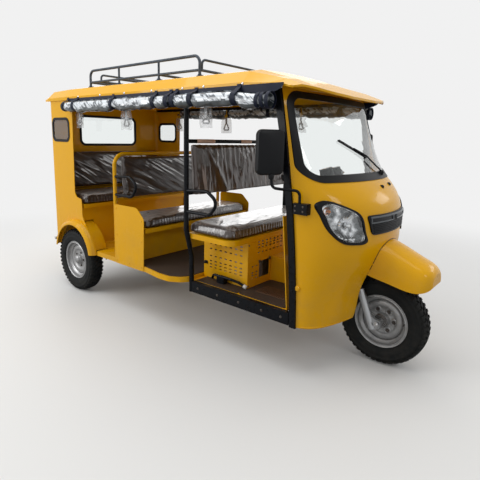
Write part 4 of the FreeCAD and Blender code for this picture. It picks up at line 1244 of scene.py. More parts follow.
def build_rim(wheel):
    """Barrel with rolled lips, pressed disc with its windows, bosses, bolts and hub."""
    low, high = node_box(wheel.node)
    centre = (low + high) / 2
    name = wheel.node

    def placed(form):
        return [v + centre for v in form[0]], form[1]

    section = [(radius * MM, along * MM) for radius, along in WELL + FLANGE]
    section += [(radius, -along) for radius, along in reversed(section)]
    barrel = make_piece(name + "_barrel", *placed(revolved(section, RIM_STEPS)), "rim_paint", wheel.body)
    mark_sharp(barrel, 50)
    hub = ((40.5, wheel.hub_outer - 3), (37.5, wheel.hub_outer), (wheel.bore, wheel.hub_outer),
           (wheel.bore, wheel.hub_inner), (41.5, wheel.hub_inner), (41.5, 4.2))
    face = [(radius * MM, wheel.outward * along * MM) for radius, along in DISC_FACE + hub + DISC_BACK]
    disc = make_piece(name + "_disc", *placed(revolved(face, RIM_STEPS)), "rim_paint", wheel.body)
    step = 2 * math.pi / wheel.windows
    holes = [oval_prism(step * (k + 0.5), WINDOW_RING, 0.0145 if wheel.bosses else 0.0120,
                        0.0092 if wheel.bosses else 0.0078, 0.06) for k in range(wheel.windows)]
    cut_out(disc, *placed(gathered(holes)))
    mark_sharp(disc, 32)
    axis = Vector((0, wheel.outward, 0))
    nuts = []
    rings = []
    for c, s in circle(wheel.bolts):
        spot = centre + Vector((c, 0, s)) * wheel.bolt_ring * MM
        if wheel.bosses:
            base = spot + axis * 0.008
            rings.append(turned(((26, 0), (24.5, 4.5), (21.5, 7.2), (17.5, 7.8), (15, 6), (12.8, 4.2)), base,
                                axis, 30))
            nuts.append(hex_bolt(base + axis * 0.0042, axis, 0.0115))
        else:
            nuts.append(hex_bolt(spot + axis * 0.0092, axis, 0.0098))
    valve = centre + Vector((0.1370, wheel.outward * 0.017, 0.010))
    nuts.append(turned(((4.5, -4), (4.5, 6), (2.8, 8), (2.8, 22), (3.5, 23), (3.5, 29), (2, 30)), valve,
                       (0, wheel.outward, 0), 14))
    face_y = centre + axis * wheel.hub_outer * MM
    if wheel.bosses:
        # Bearing cover with its rings, dark with grease
        cover = [turned(((41.5, -30), (41.5, -25.5), (40, -24), (40, -4)), face_y, axis, 48)]
        for radius in (0.0385, 0.0300, 0.0215):
            path = [face_y + Vector((radius * c, 0, radius * s)) for c, s in circle(48)]
            cover.append(bar_along(path, 0.0022, 8, ring=True))
        trim(name + "_bearing", cover, "dark_steel", wheel.body, slot="rim_paint")
        trim(name + "_bosses", rings, "rim_paint", wheel.body)
    else:
        cap = [turned(((34.5, -2), (34.5, 3.5), (33, 6), (29, 10), (21, 13.2), (11, 14.8), (3, 15)), face_y,
                      axis, 40)]
        trim(name + "_cap", cap, "rim_paint", wheel.body)
    trim(name + "_bolts", nuts, "dark_steel", wheel.body, slot="rim_paint")
    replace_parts(barrel, wheel.node)
    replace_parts(disc, wheel.node)


class RICKSHAW_OT_rims(bpy.types.Operator):
    """Build the pressed steel rims with their bolts and hubs"""
    bl_idname = "rickshaw.rims"
    bl_label = "Rims"

    def execute(self, context):
        for wheel in WHEELS:
            build_rim(wheel)
        return {"FINISHED"}


# Headlights and rear lamps

LENS_SHEET = 0.0025
BOWL_RADIUS = 0.066
BOWL_DEPTH = 0.030
SIGNAL_RADIUS = 0.026
LAMP_ANGLES = 96


class LampForm:
    """One headlight's outline and surface, read from its framed lens."""

    def __init__(self, side):
        self.side = side
        self.skin = Skin("headlights")
        verts = next(solid[0] for solid in solids_of("headlights") if side * sum(v.y for v in solid[0]) > 0)
        low, high = limits(verts)
        self.middle = (low + high) / 2
        self.size = high - low
        self.edges = [self.find_edge(2 * math.pi * k / LAMP_ANGLES) for k in range(LAMP_ANGLES)]
        # Bowl and turn signal, as shares of the lens' width towards the nose and of its height
        self.bowl = self.share_spot(0.60, 0.43)
        self.signal = self.share_spot(0.17, 0.80)

    def share_spot(self, inward, upward):
        y = self.middle.y + self.side * self.size.y * (0.5 - inward)
        return y, self.middle.z + self.size.z * (upward - 0.5)

    def find_edge(self, angle):
        """How far the lens reaches from its middle that way."""
        inside, outside = 0.0, 0.2
        for _ in range(14):
            reach = (inside + outside) / 2
            if self.surface(*self.spot(angle, reach)) is None:
                outside = reach
            else:
                inside = reach
        return inside

    def spot(self, angle, reach):
        return self.middle.y + reach * math.cos(angle), self.middle.z + reach * math.sin(angle)

    def surface(self, y, z):
        met = self.skin.front(y, z)
        if met is None or met[0].y * self.side < 0:
            return None
        return met[0]

    def grid(self, shares, depth):
        """Rings of points at shares of the outline, sunk by a depth that depends on the place."""
        rows = []
        for share in shares:
            row = []
            for k in range(LAMP_ANGLES):
                y, z = self.spot(2 * math.pi * k / LAMP_ANGLES, self.edges[k] * share)
                row.append(self.surface(y, z) - Vector((depth(y, z, share), 0, 0)))
            rows.append(row)
        return rows


def ringed(rows, close_middle=True):
    """A form over rings of points, the last ring filled in."""
    count = len(rows[0])
    faces = quads(len(rows), count)
    if close_middle:
        faces.append(end_faces(len(rows), count)[1])
    return [v for row in rows for v in row], faces


def reflector_depth(form, y, z, share):
    """Depth of the chrome behind the lens: a stepped rim, a deck and a fluted bowl."""
    depth = 0.007 + 0.010 * min(1.0, max(0.0, (0.95 - share) / 0.05))
    deck = 0.004 * math.sin((z - form.middle.z) * 260)
    depth += 0.0012 * deck / 0.004 + 0.006 * min(1.0, max(0.0, (0.86 - share) / 0.03))
    for (cy, cz), radius, deep, flutes in ((form.bowl, BOWL_RADIUS, BOWL_DEPTH, 18),
                                           (form.signal, SIGNAL_RADIUS, 0.018, 10)):
        far = math.hypot(y - cy, z - cz)
        if far < radius:
            turn = math.atan2(z - cz, y - cy)
            depth = 0.012 + deep * (1 - (far / radius) ** 2) ** 0.8
            depth += 0.0013 * math.cos(flutes * turn) * (far / radius)
        else:
            depth -= 0.006 * math.exp(-((far - radius) / 0.004) ** 2)
    return depth


def build_headlight(side):
    label = side_name(side)
    form = LampForm(side)
    outer = form.grid([0.997, 0.97, 0.9, 0.75, 0.5, 0.25, 0.06], lambda y, z, share: 0.0)
    inner = form.grid([0.06, 0.25, 0.5, 0.75, 0.9, 0.97, 0.99], lambda y, z, share: LENS_SHEET)
    verts, faces = ringed(list(reversed(outer)), False)
    flipped = ringed(list(reversed(inner)), False)
    count = len(verts)
    add_form(verts, faces, *flipped)
    rim_outer = 6 * LAMP_ANGLES
    rim_inner = count
    for k in range(LAMP_ANGLES):
        after = (k + 1) % LAMP_ANGLES
        faces.append((rim_outer + k, rim_outer + after, rim_inner + after, rim_inner + k))
    faces.append(tuple(range(LAMP_ANGLES)))
    faces.append(tuple(count + 6 * LAMP_ANGLES + k for k in range(LAMP_ANGLES)))
    lens = make_piece("headlight_lens_" + label, verts, faces, "lamp_lens")
    mark_sharp(lens, 50)
    shares = [0.985, 0.96, 0.95, 0.935, 0.92, 0.905, 0.895] + [0.88 - 0.022 * k for k in range(39)] + [0.015]
    rows = form.grid(shares, lambda y, z, share: reflector_depth(form, y, z, share))
    reflector = make_piece("headlight_reflector_" + label, *ringed(rows), "lamp_chrome", slot="lamp_lens")
    mark_sharp(reflector, 45)
    cy, cz = form.bowl
    seat = form.surface(cy, cz) - Vector((0.012 + BOWL_DEPTH, 0, 0))
    bulb = [turned(((17, 0), (17, 6), (12, 8), (12, 13), (14.5, 14.5), (14.5, 26), (11.5, 31), (4, 33)),
                   seat, (1, 0, 0), 28)]
    for k in range(5):
        angle = math.radians((-62 - 13 * k) if side < 0 else (-118 + 13 * k))
        index = int(round((angle % (2 * math.pi)) / (2 * math.pi) * LAMP_ANGLES)) % LAMP_ANGLES
        y, z = form.spot(angle, form.edges[index] * 0.86)
        bead = form.surface(y, z) - Vector((0.022, 0, 0))
        bulb.append(turned(((6.2, 0), (6.2, 6), (5.2, 9.5), (3, 11.8), (0.8, 12.4)), bead, (1, 0, 0), 16))
    trim("headlight_bulb_" + label, bulb, "chrome", slot="lamp_lens")
    sy, sz = form.signal
    seat = form.surface(sy, sz) - Vector((0.030, 0, 0))
    signal = [turned(((7, 0), (8.5, 10), (8.5, 16), (6, 21.5), (1.5, 23.5)), seat, (1, 0, 0), 20)]
    trim("turn_signal_bulb_" + label, signal, "amber_lens", slot="red_lens")
    back = form.grid([0.995, 0.9, 0.6, 0.1], lambda y, z, share: 0.046)
    front = form.grid([0.985], lambda y, z, share: 0.0075)
    housing = make_piece("headlight_housing_" + label, *ringed(front + back), "black_plastic")
    mark_sharp(housing, 40)
    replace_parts(lens, "headlights")


LAMP_PARTS = (
    # Low and high share of the lamp's height, and its lens
    (0.05, 0.34, "amber_lens"),
    (0.36, 0.70, "red_lens"),
    (0.72, 0.95, "white_lens"),
)


def build_tail_lamps():
    """Black bases with three ribbed lenses each."""
    forms = {"black_plastic": [], "amber_lens": [], "red_lens": [], "white_lens": []}
    for verts, _ in solids_of("tail_lamps"):
        low, high = limits(verts)
        wall = high.x
        forms["black_plastic"].append(soft_box((wall - 0.012, low.y, low.z), (wall, high.y, high.z), 0.005))
        height = high.z - low.z
        for start, end, lens in LAMP_PARTS:
            z0, z1 = low.z + height * start, low.z + height * end
            forms[lens].append(soft_box((low.x + 0.0015, low.y + 0.004, z0),
                                        (wall - 0.010, high.y - 0.004, z1), 0.004))
            for k in range(5):
                y = low.y + 0.012 + (high.y - low.y - 0.024) * k / 4
                forms[lens].append(soft_box((low.x + 0.0004, y - 0.003, z0 + 0.005),
                                            (low.x + 0.004, y + 0.003, z1 - 0.005), 0.0012))
    pieces = []
    for material, made in forms.items():
        slot = material if material in ("black_plastic", "red_lens") else "red_lens"
        pieces.append(trim("tail_lamp_" + material, made, material, slot=slot))
    for piece in pieces:
        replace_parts(piece, "tail_lamps")


def build_lamp_rings():
    """A thin grey bead round each headlight, between its black rim and the lens."""
    for side in (-1, 1):
        form = LampForm(side)
        row = form.grid([0.975], lambda y, z, share: 0.004)[0]
        label = side_name(side)
        trim("headlight_bead_" + label, [bar_along(row, 0.0024, 8, ring=True)], "lamp_chrome",
             slot="lamp_lens")


class RICKSHAW_OT_lamps(bpy.types.Operator):
    """Build the headlights, their reflectors and bulbs, and the rear lamps"""
    bl_idname = "rickshaw.lamps"
    bl_label = "Lamps"

    def execute(self, context):
        for side in (-1, 1):
            build_headlight(side)
        build_lamp_rings()
        build_tail_lamps()
        return {"FINISHED"}


# Nose trim

GRILLE_RIBS = 6


def nose_bar(skin, half, height, z, proud, gap=0.0, steps=44):
    """A bar that follows the nose from side to side, with an opening in its middle if asked."""
    forms = []
    section = ((-0.5, -0.003), (-0.5, 0.6 * proud), (-0.32, proud), (0.32, proud), (0.5, 0.6 * proud),
               (0.5, -0.003))
    for y0, y1 in ((-half, -gap), (gap, half)) if gap else ((-half, half),):
        verts = []
        for k in range(steps + 1):
            y = y0 + (y1 - y0) * k / steps
            verts += [skin.front(y, z + share * height)[0] + Vector((out, 0, 0)) for share, out in section]
        forms.append((verts, quads(steps + 1, len(section)) + end_faces(steps + 1, len(section))))
    return forms


def build_grille():
    """Plain bars over the grille plate: a notched frame above and fine ribs below."""
    low, high = node_box("nose_grille")
    height = high.z - low.z
    skin = Skin("nose_grille", "cowl")
    frame_bars = nose_bar(skin, 0.252, 0.011, high.z - 0.012, 0.006)
    frame_bars += nose_bar(skin, 0.246, 0.009, high.z - 0.043, 0.005, gap=0.028)
    for y in (-0.246, -0.028, 0.028, 0.246):
        heights = (high.z - 0.044, high.z - 0.028, high.z - 0.012)
        points = [skin.front(y, z)[0] + Vector((0.002, 0, 0)) for z in heights]
        frame_bars.append(bar_along(points, 0.0042, 10))
    trim("grille_frame", frame_bars, "grey_gloss", slot="black_plastic")
    ribs = []
    for k in range(GRILLE_RIBS):
        share = 0.10 + 0.086 * k
        ribs += nose_bar(skin, 0.214 + 0.036 * share, 0.0045, low.z + height * share, 0.004)
    trim("grille_ribs", ribs, "black_plastic")


def seam_path(node, other, reach=0.0012):
    """The outer edge of a node where it meets another, in order round its arch."""
    tree = Skin(other).trees[0]
    mesh = frame["nodes"][node].data
    near = [Vector(v.co) for v in mesh.vertices if (tree.find_nearest(v.co)[3] or 0) < reach]
    low, high = limits(near)
    middle = Vector(((low.x + high.x) / 2, (low.y + high.y) / 2, low.z))
    best = {}
    for spot in near:
        turn = math.atan2(spot.z - middle.z, spot.y - middle.y)
        sector = round(turn * 26)
        far = math.hypot(spot.y - middle.y, spot.z - middle.z)
        if sector not in best or far > best[sector][0]:
            best[sector] = (far, spot)
    return [best[sector][1] for sector in sorted(best)]


def smoothed(points, times=2):
    """Corner-cut points, ends kept."""
    for _ in range(times):
        finer = [points[0]]
        for a, b in zip(points, points[1:]):
            finer += [a * 0.75 + b * 0.25, a * 0.25 + b * 0.75]
        points = finer + [points[-1]]
    return points


def build_nose_trim():
    """Seam, hem, washer nozzles and the wiper's blade."""
    seam = seam_path("front_mudguard", "cowl")
    trim("mudguard_seam", [bar_along(smoothed(seam), 0.0026, 8)], "seal_rubber")
    skin = Skin("cowl")
    hems = []
    for side in (-1, 1):
        path = [skin.front(side * (0.205 + 0.327 * k / 30), 0.3125)[0] for k in range(31)]
        hems.append(bar_along(path, 0.0036, 10))
    trim("cowl_hem", hems, "yellow_paint")
    nozzles = []
    for y, z in ((0.010, 1.092), (0.165, 1.096)):
        spot, normal = skin.front(y, z)
        nozzles.append(turned(((13, -1), (13, 3), (10.5, 6), (7.5, 10), (3, 12)), spot, normal, 22))
    trim("washer_nozzles", nozzles, "black_plastic")
    build_wiper()


WIPER = ((0.185, 1.160), (0.078, 1.259), (-0.165, 1.358))


def build_wiper():
    """A pivot, a sprung arm and a blade that lies on the glass, given by their y and z."""
    glass = Skin("glazing", "cowl", "window_gaskets")
    foot, elbow, tip = [Vector((0, *place)) for place in WIPER]

    def lifted(place, height):
        spot, normal = glass.front(place.y, place.z)
        return spot + normal * height

    arm = [lifted(foot, 0.010)]
    arm += [lifted(foot.lerp(elbow, k / 6), 0.018) for k in range(1, 7)]
    arm += [lifted(elbow.lerp(tip, 0.08 * k), 0.018 - 0.0008 * k) for k in range(1, 7)]
    blade = [lifted(elbow.lerp(tip, -0.06 + 1.06 * k / 24), 0.004) for k in range(25)]
    back = [lifted(elbow.lerp(tip, -0.04 + 1.02 * k / 24), 0.0095) for k in range(25)]
    way = (blade[-1] - blade[0]).normalized()
    out = (back[0] - blade[0]).cross(way).cross(way).normalized()
    rubber = [band(blade, out, 0.011, 0.0050)]
    spine = [band(back, out.cross(way), 0.013, 0.0038)]
    for k in (3, 9, 15, 21):
        spine.append(soft_box(back[k] - Vector((0.004, 0.007, 0.004)),
                              back[k] + Vector((0.006, 0.007, 0.004)), 0.002))
    holder = [bar_along(smoothed(arm, 1), 0.0052, 10)]
    spot, normal = glass.front(foot.y, foot.z)
    holder.append(turned(((18, -4), (18, 6), (14, 12), (10, 20), (4, 22)), spot, normal, 24))
    trim("wiper_rubber", rubber, "seal_rubber")
    trim("wiper_spine", spine, "black_plastic")
    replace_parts(trim("wiper_arm", holder, "black_paint"), "wiper")


class RICKSHAW_OT_nose(bpy.types.Operator):
    """Trim the nose: grille bars, seams, nozzles and wiper blade"""
    bl_idname = "rickshaw.nose"
    bl_label = "Nose trim"

    def execute(self, context):
        build_grille()
        build_nose_trim()
        return {"FINISHED"}


# Mirrors, handlebar and fork trim

def rounded_slab(half, corner, edge, centre, turn, steps=12):
    """A slab, thin along x, with round corners and softened rims."""
    rows = []
    for x, inset in ((-half.x, edge), (-half.x + 0.3 * edge, 0.3 * edge), (-half.x + edge, 0.0),
                     (half.x - edge, 0.0), (half.x - 0.3 * edge, 0.3 * edge), (half.x, edge)):
        row = []
        for quarter in range(4):
            cy = (half.y - corner) * (1 if quarter in (0, 3) else -1)
            cz = (half.z - corner) * (1 if quarter in (0, 1) else -1)
            for k in range(steps + 1):
                angle = math.pi / 2 * (quarter + k / steps)
                reach = corner - inset
                row.append(centre + turn @ Vector((x, cy + reach * math.cos(angle),
                                                   cz + reach * math.sin(angle))))
        rows.append(row)
    verts, faces = ringed(rows)
    return verts, faces + end_faces(1, len(rows[0]))[:1]


def build_mirror_faces():
    """Round-cornered shells, with silvered glass in a thin frame on the rear face of each."""
    for side in (-1, 1):
        label = side_name(side)
        verts = next(solid[0] for solid in solids_of("mirrors") if side * sum(v.y for v in solid[0]) > 0)
        low, high = limits(verts)
        middle = (low + high) / 2
        turn = Matrix.Rotation(side * math.radians(27), 3, "Z")
        half = Vector((0.0015, 0.066, 0.107))
        face = middle + turn @ Vector((-0.0225, 0, 0))
        shell = trim("mirror_shell_" + label,
                     [rounded_slab(Vector((0.0218, 0.0795, 0.1205)), 0.032, 0.011, middle, turn)],
                     "black_plastic")
        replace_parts(shell, "mirrors")
        trim("mirror_glass_" + label, [soft_box(face - half, face + half, 0.0014, turn)], "chrome",
             slot="black_plastic")
        ring = []
        for k in range(48):
            angle = 2 * math.pi * k / 48
            power = 0.32
            cy = math.copysign(abs(math.cos(angle)) ** power, math.cos(angle)) * 0.068
            cz = math.copysign(abs(math.sin(angle)) ** power, math.sin(angle)) * 0.109
            ring.append(face + turn @ Vector((0, cy, cz)))
        trim("mirror_frame_" + label, [bar_along(ring, 0.0032, 8, ring=True)], "black_plastic")
        socket = Vector((middle.x + 0.014, middle.y, low.z - 0.004))
        trim("mirror_socket_" + label, [turned(((13, -16), (15, -12), (16, 4), (14, 10)),
                                               socket, (0, 0, 1), 20)], "black_plastic")


def steering_line(z, y=0.0, behind=0.0):
    """A point on the steering axis at a height, or on a line beside and behind it."""
    joint = next(j for j in frame["record"]["behaviour"]["joints"] if j["name"] == "steer")
    foot, axis = Vector(joint["pos_m"]), Vector(joint["axis"])
    spot = foot + axis * ((z - foot.z) / axis.z)
    return Vector((spot.x - behind, y, z))


FORK_HALF = 0.093
FORK_AHEAD = -0.020
BELLOWS_FOLDS = 7


def build_fork_trim():
    """Rubber bellows over the fork's upper tubes, and its clamp bolts."""
    bellows = []
    bolts = []
    axis = (steering_line(0.9) - steering_line(0.3)).normalized()
    for side in (-1, 1):
        rings = []
        foot, top = [steering_line(z, side * FORK_HALF, FORK_AHEAD) for z in BELLOWS_Z]
        length_up = (top - foot).length
        for k in range(BELLOWS_FOLDS * 4 + 1):
            share = k / (BELLOWS_FOLDS * 4)
            wave = 0.5 + 0.5 * math.cos(2 * math.pi * BELLOWS_FOLDS * share)
            rings.append((0.0195 + 0.0055 * wave, length_up * share))
        bellows.append(lathe(rings, foot, axis, 28))
        bellows.append(turned(((26.2, -10), (26.2, 0), (25.2, 2)), foot, axis, 28))
        for z in (0.600, 0.970):
            spot = steering_line(z, side * 0.1225, -0.006)
            bolts.append(hex_bolt(spot, (0, side, 0), 0.009))
        foot = Vector((AXLE_X + 2.520, side * 0.1150, 0.2725))
        bolts.append(hex_bolt(foot, (0, side, 0), 0.015))
    trim("fork_bellows", bellows, "seal_rubber", "steering")
    trim("fork_bolts", bolts, "bright_steel", "steering", slot="fork_steel")


# A lever's bends from its pivot: forward, outward and up, in metres
LEVER_BENDS = ((0.012, 0.0, 0.0), (0.018, 0.020, -0.002), (-0.010, 0.062, -0.010), (-0.046, 0.108, -0.020),
               (-0.052, 0.116, -0.021))


def build_handlebar_trim():
    """Ribbed grips, levers and two plain dials."""
    bar = at(2151, 0, 0).x
    grips = []
    levers = []
    bezels = []
    faces_made = []
    marks = []
    for side in (-1, 1):
        outer = Vector((bar - 0.193, side * 0.349, 1.129))
        inner = Vector((bar - 0.131, side * 0.265, 1.147))
        along = (outer - inner).normalized()
        rings = [(0.0208, -0.002), (0.0208, 0.003)]
        count = 16
        for k in range(count):
            y = 0.006 + 0.0058 * k
            rings += [(0.0182, y), (0.0192, y + 0.0015), (0.0192, y + 0.0040), (0.0182, y + 0.0052)]
        rings += [(0.0205, 0.101), (0.0205, 0.106), (0.0160, 0.1075)]
        grips.append(lathe(rings, inner, along, 24))
        pivot = Vector((bar - 0.090, side * 0.226, 1.146))
        path = [pivot + Vector((x, side * y, z)) for x, y, z in LEVER_BENDS]
        levers.append(bar_along(smoothed(path), 0.0045, 10))
        levers.append(turned(((10, -8), (11, -6), (11, 6), (10, 8)),
                             pivot + Vector((0.014, 0, 0)), (0, 0, 1), 18))
        axis = Vector((-0.032, 0, 0.088)).normalized()
        centre = Vector((bar - 0.062, side * 0.052, 1.178))
        turns = [Matrix.Rotation(2 * math.pi * s / 40, 3, axis) for s in range(40)]
        path = [centre + axis * 0.001 + turn @ (Vector((0, 1, 0)) * 0.0420) for turn in turns]
        bezels.append(bar_along(path, 0.0030, 8, ring=True))
        faces_made.append(turned(((40.5, -1), (40.5, 0.8), (40, 1)), centre, axis, 40))
        for tick in range(11):
            angle = math.radians(-120 + 24 * tick)
            out = Matrix.Rotation(angle, 3, axis) @ Vector((0.94, 0, 0.34)).normalized()
            marks.append(bar_along([centre + axis * 0.0014 + out * 0.0300,
                                    centre + axis * 0.0014 + out * 0.0360], 0.0009, 6))
        needle = Matrix.Rotation(math.radians(-118), 3, axis) @ Vector((0.94, 0, 0.34)).normalized()
        marks.append(bar_along([centre + axis * 0.0024, centre + axis * 0.0024 + needle * 0.028], 0.0010, 6))
        marks.append(turned(((3.5, 1), (3, 3.5)), centre, axis, 14))
    trim("handlebar_grips", grips, "seal_rubber", "steering")
    trim("handlebar_levers", levers, "bright_steel", "steering", slot="fork_steel")
    trim("dial_bezels", bezels, "chrome", "steering", slot="fork_steel")
    trim("dial_faces", faces_made, "black_plastic", "steering")
    trim("dial_marks", marks, "white_plastic", "steering", slot="black_plastic")


class RICKSHAW_OT_controls(bpy.types.Operator):
    """Trim the mirrors, the fork and the handlebar"""
    bl_idname = "rickshaw.controls"
    bl_label = "Controls"

    def execute(self, context):
        build_mirror_faces()
        build_fork_trim()
        build_handlebar_trim()
        return {"FINISHED"}


# Fasteners, feet and floor

EAVE_SCREWS_X = (134, 444, 754, 1060, 1364, 1548, 1850)
RACK_FEET_X = (58, 463, 941, 1352)
RACK_FOOT_Y = 455


def side_screws(places, y, radius, hexed=False):
    """Screws on both sides of the body at (x, z) places in millimetres."""
    forms = []
    for side in (-1, 1):
        for x, z in places:
            make = hex_bolt if hexed else screw
            forms.append(make(at(x, side * y, z), (0, side, 0), radius))
    return forms


def build_fasteners():
    trim("eave_screws", side_screws([(x, 1659) for x in EAVE_SCREWS_X], 618, 0.0080), "bright_steel",
         slot="fork_steel")
    panel = [(606, 392), (606, 600), (606, 806), (760, 392), (912, 392), (916, 590), (918, 742)]
    trim("panel_screws", side_screws(panel, 613, 0.0060), "yellow_paint")
    sill = [(1440, 345), (1620, 345), (1800, 345), (1980, 345), (2120, 345)]
    trim("sill_bolts", side_screws(sill, 550, 0.0085, hexed=True), "dark_steel", slot="fork_steel")
    post = [(2196, 340), (2188, 520), (2174, 760)]
    trim("post_screws", side_screws(post, 551, 0.0065), "black_paint")
    bracket = [(2192, 980), (2192, 1006), (2240, 980), (2240, 1006)]
    trim("bracket_screws", side_screws(bracket, 562, 0.0060, hexed=True), "dark_steel", slot="fork_steel")
    wall = []
    rear = node_box("rear_wall")[0].x
    for side in (-1, 1):
        for z in (0.42, 0.66, 0.90, 1.14, 1.38, 1.60):
            wall.append(screw((rear, side * 0.540, z), (-1, 0, 0), 0.0055))
    for y in (-0.45, -0.15, 0.15, 0.45):
        wall.append(screw((rear, y, 0.395), (-1, 0, 0), 0.0055))
    trim("rear_wall_screws", wall, "yellow_paint")
    roof = Skin("roof_shell")
    feet = []
    for x in RACK_FEET_X:
        for side in (-1, 1):
            spot, normal = roof.meet(at(x, side * RACK_FOOT_Y, 2100), (0, 0, -1))
            feet.append(turned(((26, -3), (26, 2), (24, 3.5), (13.5, 4.5), (12.5, 12), (11, 13)), spot,
                               normal, 26))
            for way in (-1, 1):
                place = spot + Vector((0.018 * way, 0, 0))
                feet.append(hex_bolt(place + normal * 0.003, normal, 0.0048))
    trim("rack_feet", feet, "rack_paint")
    ends = []
    hangers = []
    for side in (-1, 1):
        ends.append(turned(((15, -30), (15.2, -28), (15.2, 4), (13.5, 7.5), (8, 9.5), (2, 10)),
                           at(-478, side * 560, 379), (0, side, 0), 24))
        for x in (-352, 352):
            hangers.append(hex_bolt(at(x, side * 348, 303), (0, side, 0), 0.016))
        hangers.append(hex_bolt(at(0.0, side * 348, 238), (0, side, 0), 0.013))
    trim("bumper_ends", ends, "bright_steel", slot="fork_steel")
    trim("spring_bolts", hangers, "bright_steel", slot="fork_steel")
    clips = []
    for side in (-1, 1):
        for x in (-40, 40):
            clips.append(bar_along([at(x, side * 296, 224), at(x, side * 296, 262), at(x, side * 325, 266),
                                    at(x, side * 354, 262), at(x, side * 354, 224)], 0.006, 8))
    trim("spring_clips", clips, "spring_steel")


def build_side_mats():
    """Floor covering beside the seat box, from the middle post to the foot mats, with a raised rim."""
    box_side = node_box("engine_cover")[1].y + 0.002
    forms = []
    for side in (-1, 1):
        y0, y1 = sorted((side * box_side, side * 0.510))
        low, high = at(1384, y0 * 1000, 380.2), at(1752, y1 * 1000, 383.6)
        forms.append(soft_box(low, high, 0.0012))
        for y in (y0, y1 - 0.006):
            forms.append(soft_box((low.x, y, high.z - 0.0005), (high.x, y + 0.006, high.z + 0.0022), 0.0009))
    trim("side_mats", forms, "mat_rubber")


def build_floor_trim():
    """The driver's ribbed mat, pedal tread and lever tips."""
    low, high = at(1822, -410, 385), at(2068, -274, 389)
    forms = [soft_box(low, high, 0.0018)]
    count = 15
    for k in range(count):
        x = low.x + 0.012 + (high.x - low.x - 0.024) * k / (count - 1)
        forms.append(soft_box((x - 0.0035, low.y + 0.008, high.z - 0.001),
                              (x + 0.0035, high.y - 0.008, high.z + 0.0028), 0.0012))
    trim("driver_mat", forms, "foot_rubber", slot="mat_rubber")
    build_side_mats()
    tread = []
    for k in range(7):
        x = 1996 + 10 * k
        tread.append(soft_box(at(x - 2.6, -229, 407), at(x + 2.6, -161, 411.5), 0.0011))
    trim("pedal_tread", tread, "seal_rubber")
    tips = [turned(((12.5, -18), (13, -16), (13, 3), (11, 6), (4, 7)),
                   at(1750, -416, 396), (0.86, 0.12, -0.40), 20)]
    trim("lever_tip", tips, "white_plastic", slot="black_plastic")
    engine = Skin("engine_cover")
    latches = []
    for y in (-0.276, -0.160):
        spot = at(1750.5, y * 1000, 545)
        latches.append(soft_box(spot - Vector((0.001, 0.008, 0.010)), spot + Vector((0.008, 0.008, 0.010)),
                                0.003))
    for y, z in ((-0.39, 0.395), (-0.39, 0.672), (0.39, 0.395), (0.39, 0.672), (-0.1, 0.672), (0.1, 0.672)):
        met = engine.front(y, z)
        if met:
            latches.append(screw(met[0], (1, 0, 0), 0.006))
    trim("cover_latches", latches, "dark_steel", slot="fork_steel")
    platform = Skin("rear_platform", "side_sills", "chassis_frame")
    cowl = Skin("cowl")
    bolts = []
    hasps = []
    tabs = []
    for side in (-1, 1):
        for x, z in ((291, 309), (367, 301)):
            met = platform.meet(at(x, side * 900, z), (0, -side, 0))
            if met:
                bolts.append(hex_bolt(met[0], met[1], 0.0085))
        spot, _ = engine.meet(at(1374, side * 900, 490), (0, -side, 0))
        half = Vector((0.016, 0.005, 0.011))
        hasps.append(soft_box(spot - half, spot + half, 0.003))
        hasps.append(turned(((8.5, 3), (9.5, 9), (9.5, 15), (6, 19), (2, 20)), spot, (0, side, 0), 22))
        met = cowl.meet(at(2216, side * 900, 539), (0, -side, 0))
        if met:
            tabs.append(turned(((16, -4), (16, 4), (12.5, 8.5), (5, 10)), met[0], met[1], 22))
    trim("platform_bolts", bolts, "bright_steel", slot="fork_steel")
    trim("seat_box_hasps", hasps, "black_plastic")
    trim("cowl_tabs", tabs, "yellow_paint")


# Hand straps wrapped in clear bags

HAND_STRAPS = (
    # Middle of the strap and its half width along x, top and bottom
    (44, 50, 1546, 1414),
    (692, 62, 1548, 1401),
    (1514, 52, 1547, 1418),
)
STRAP_Y = 560


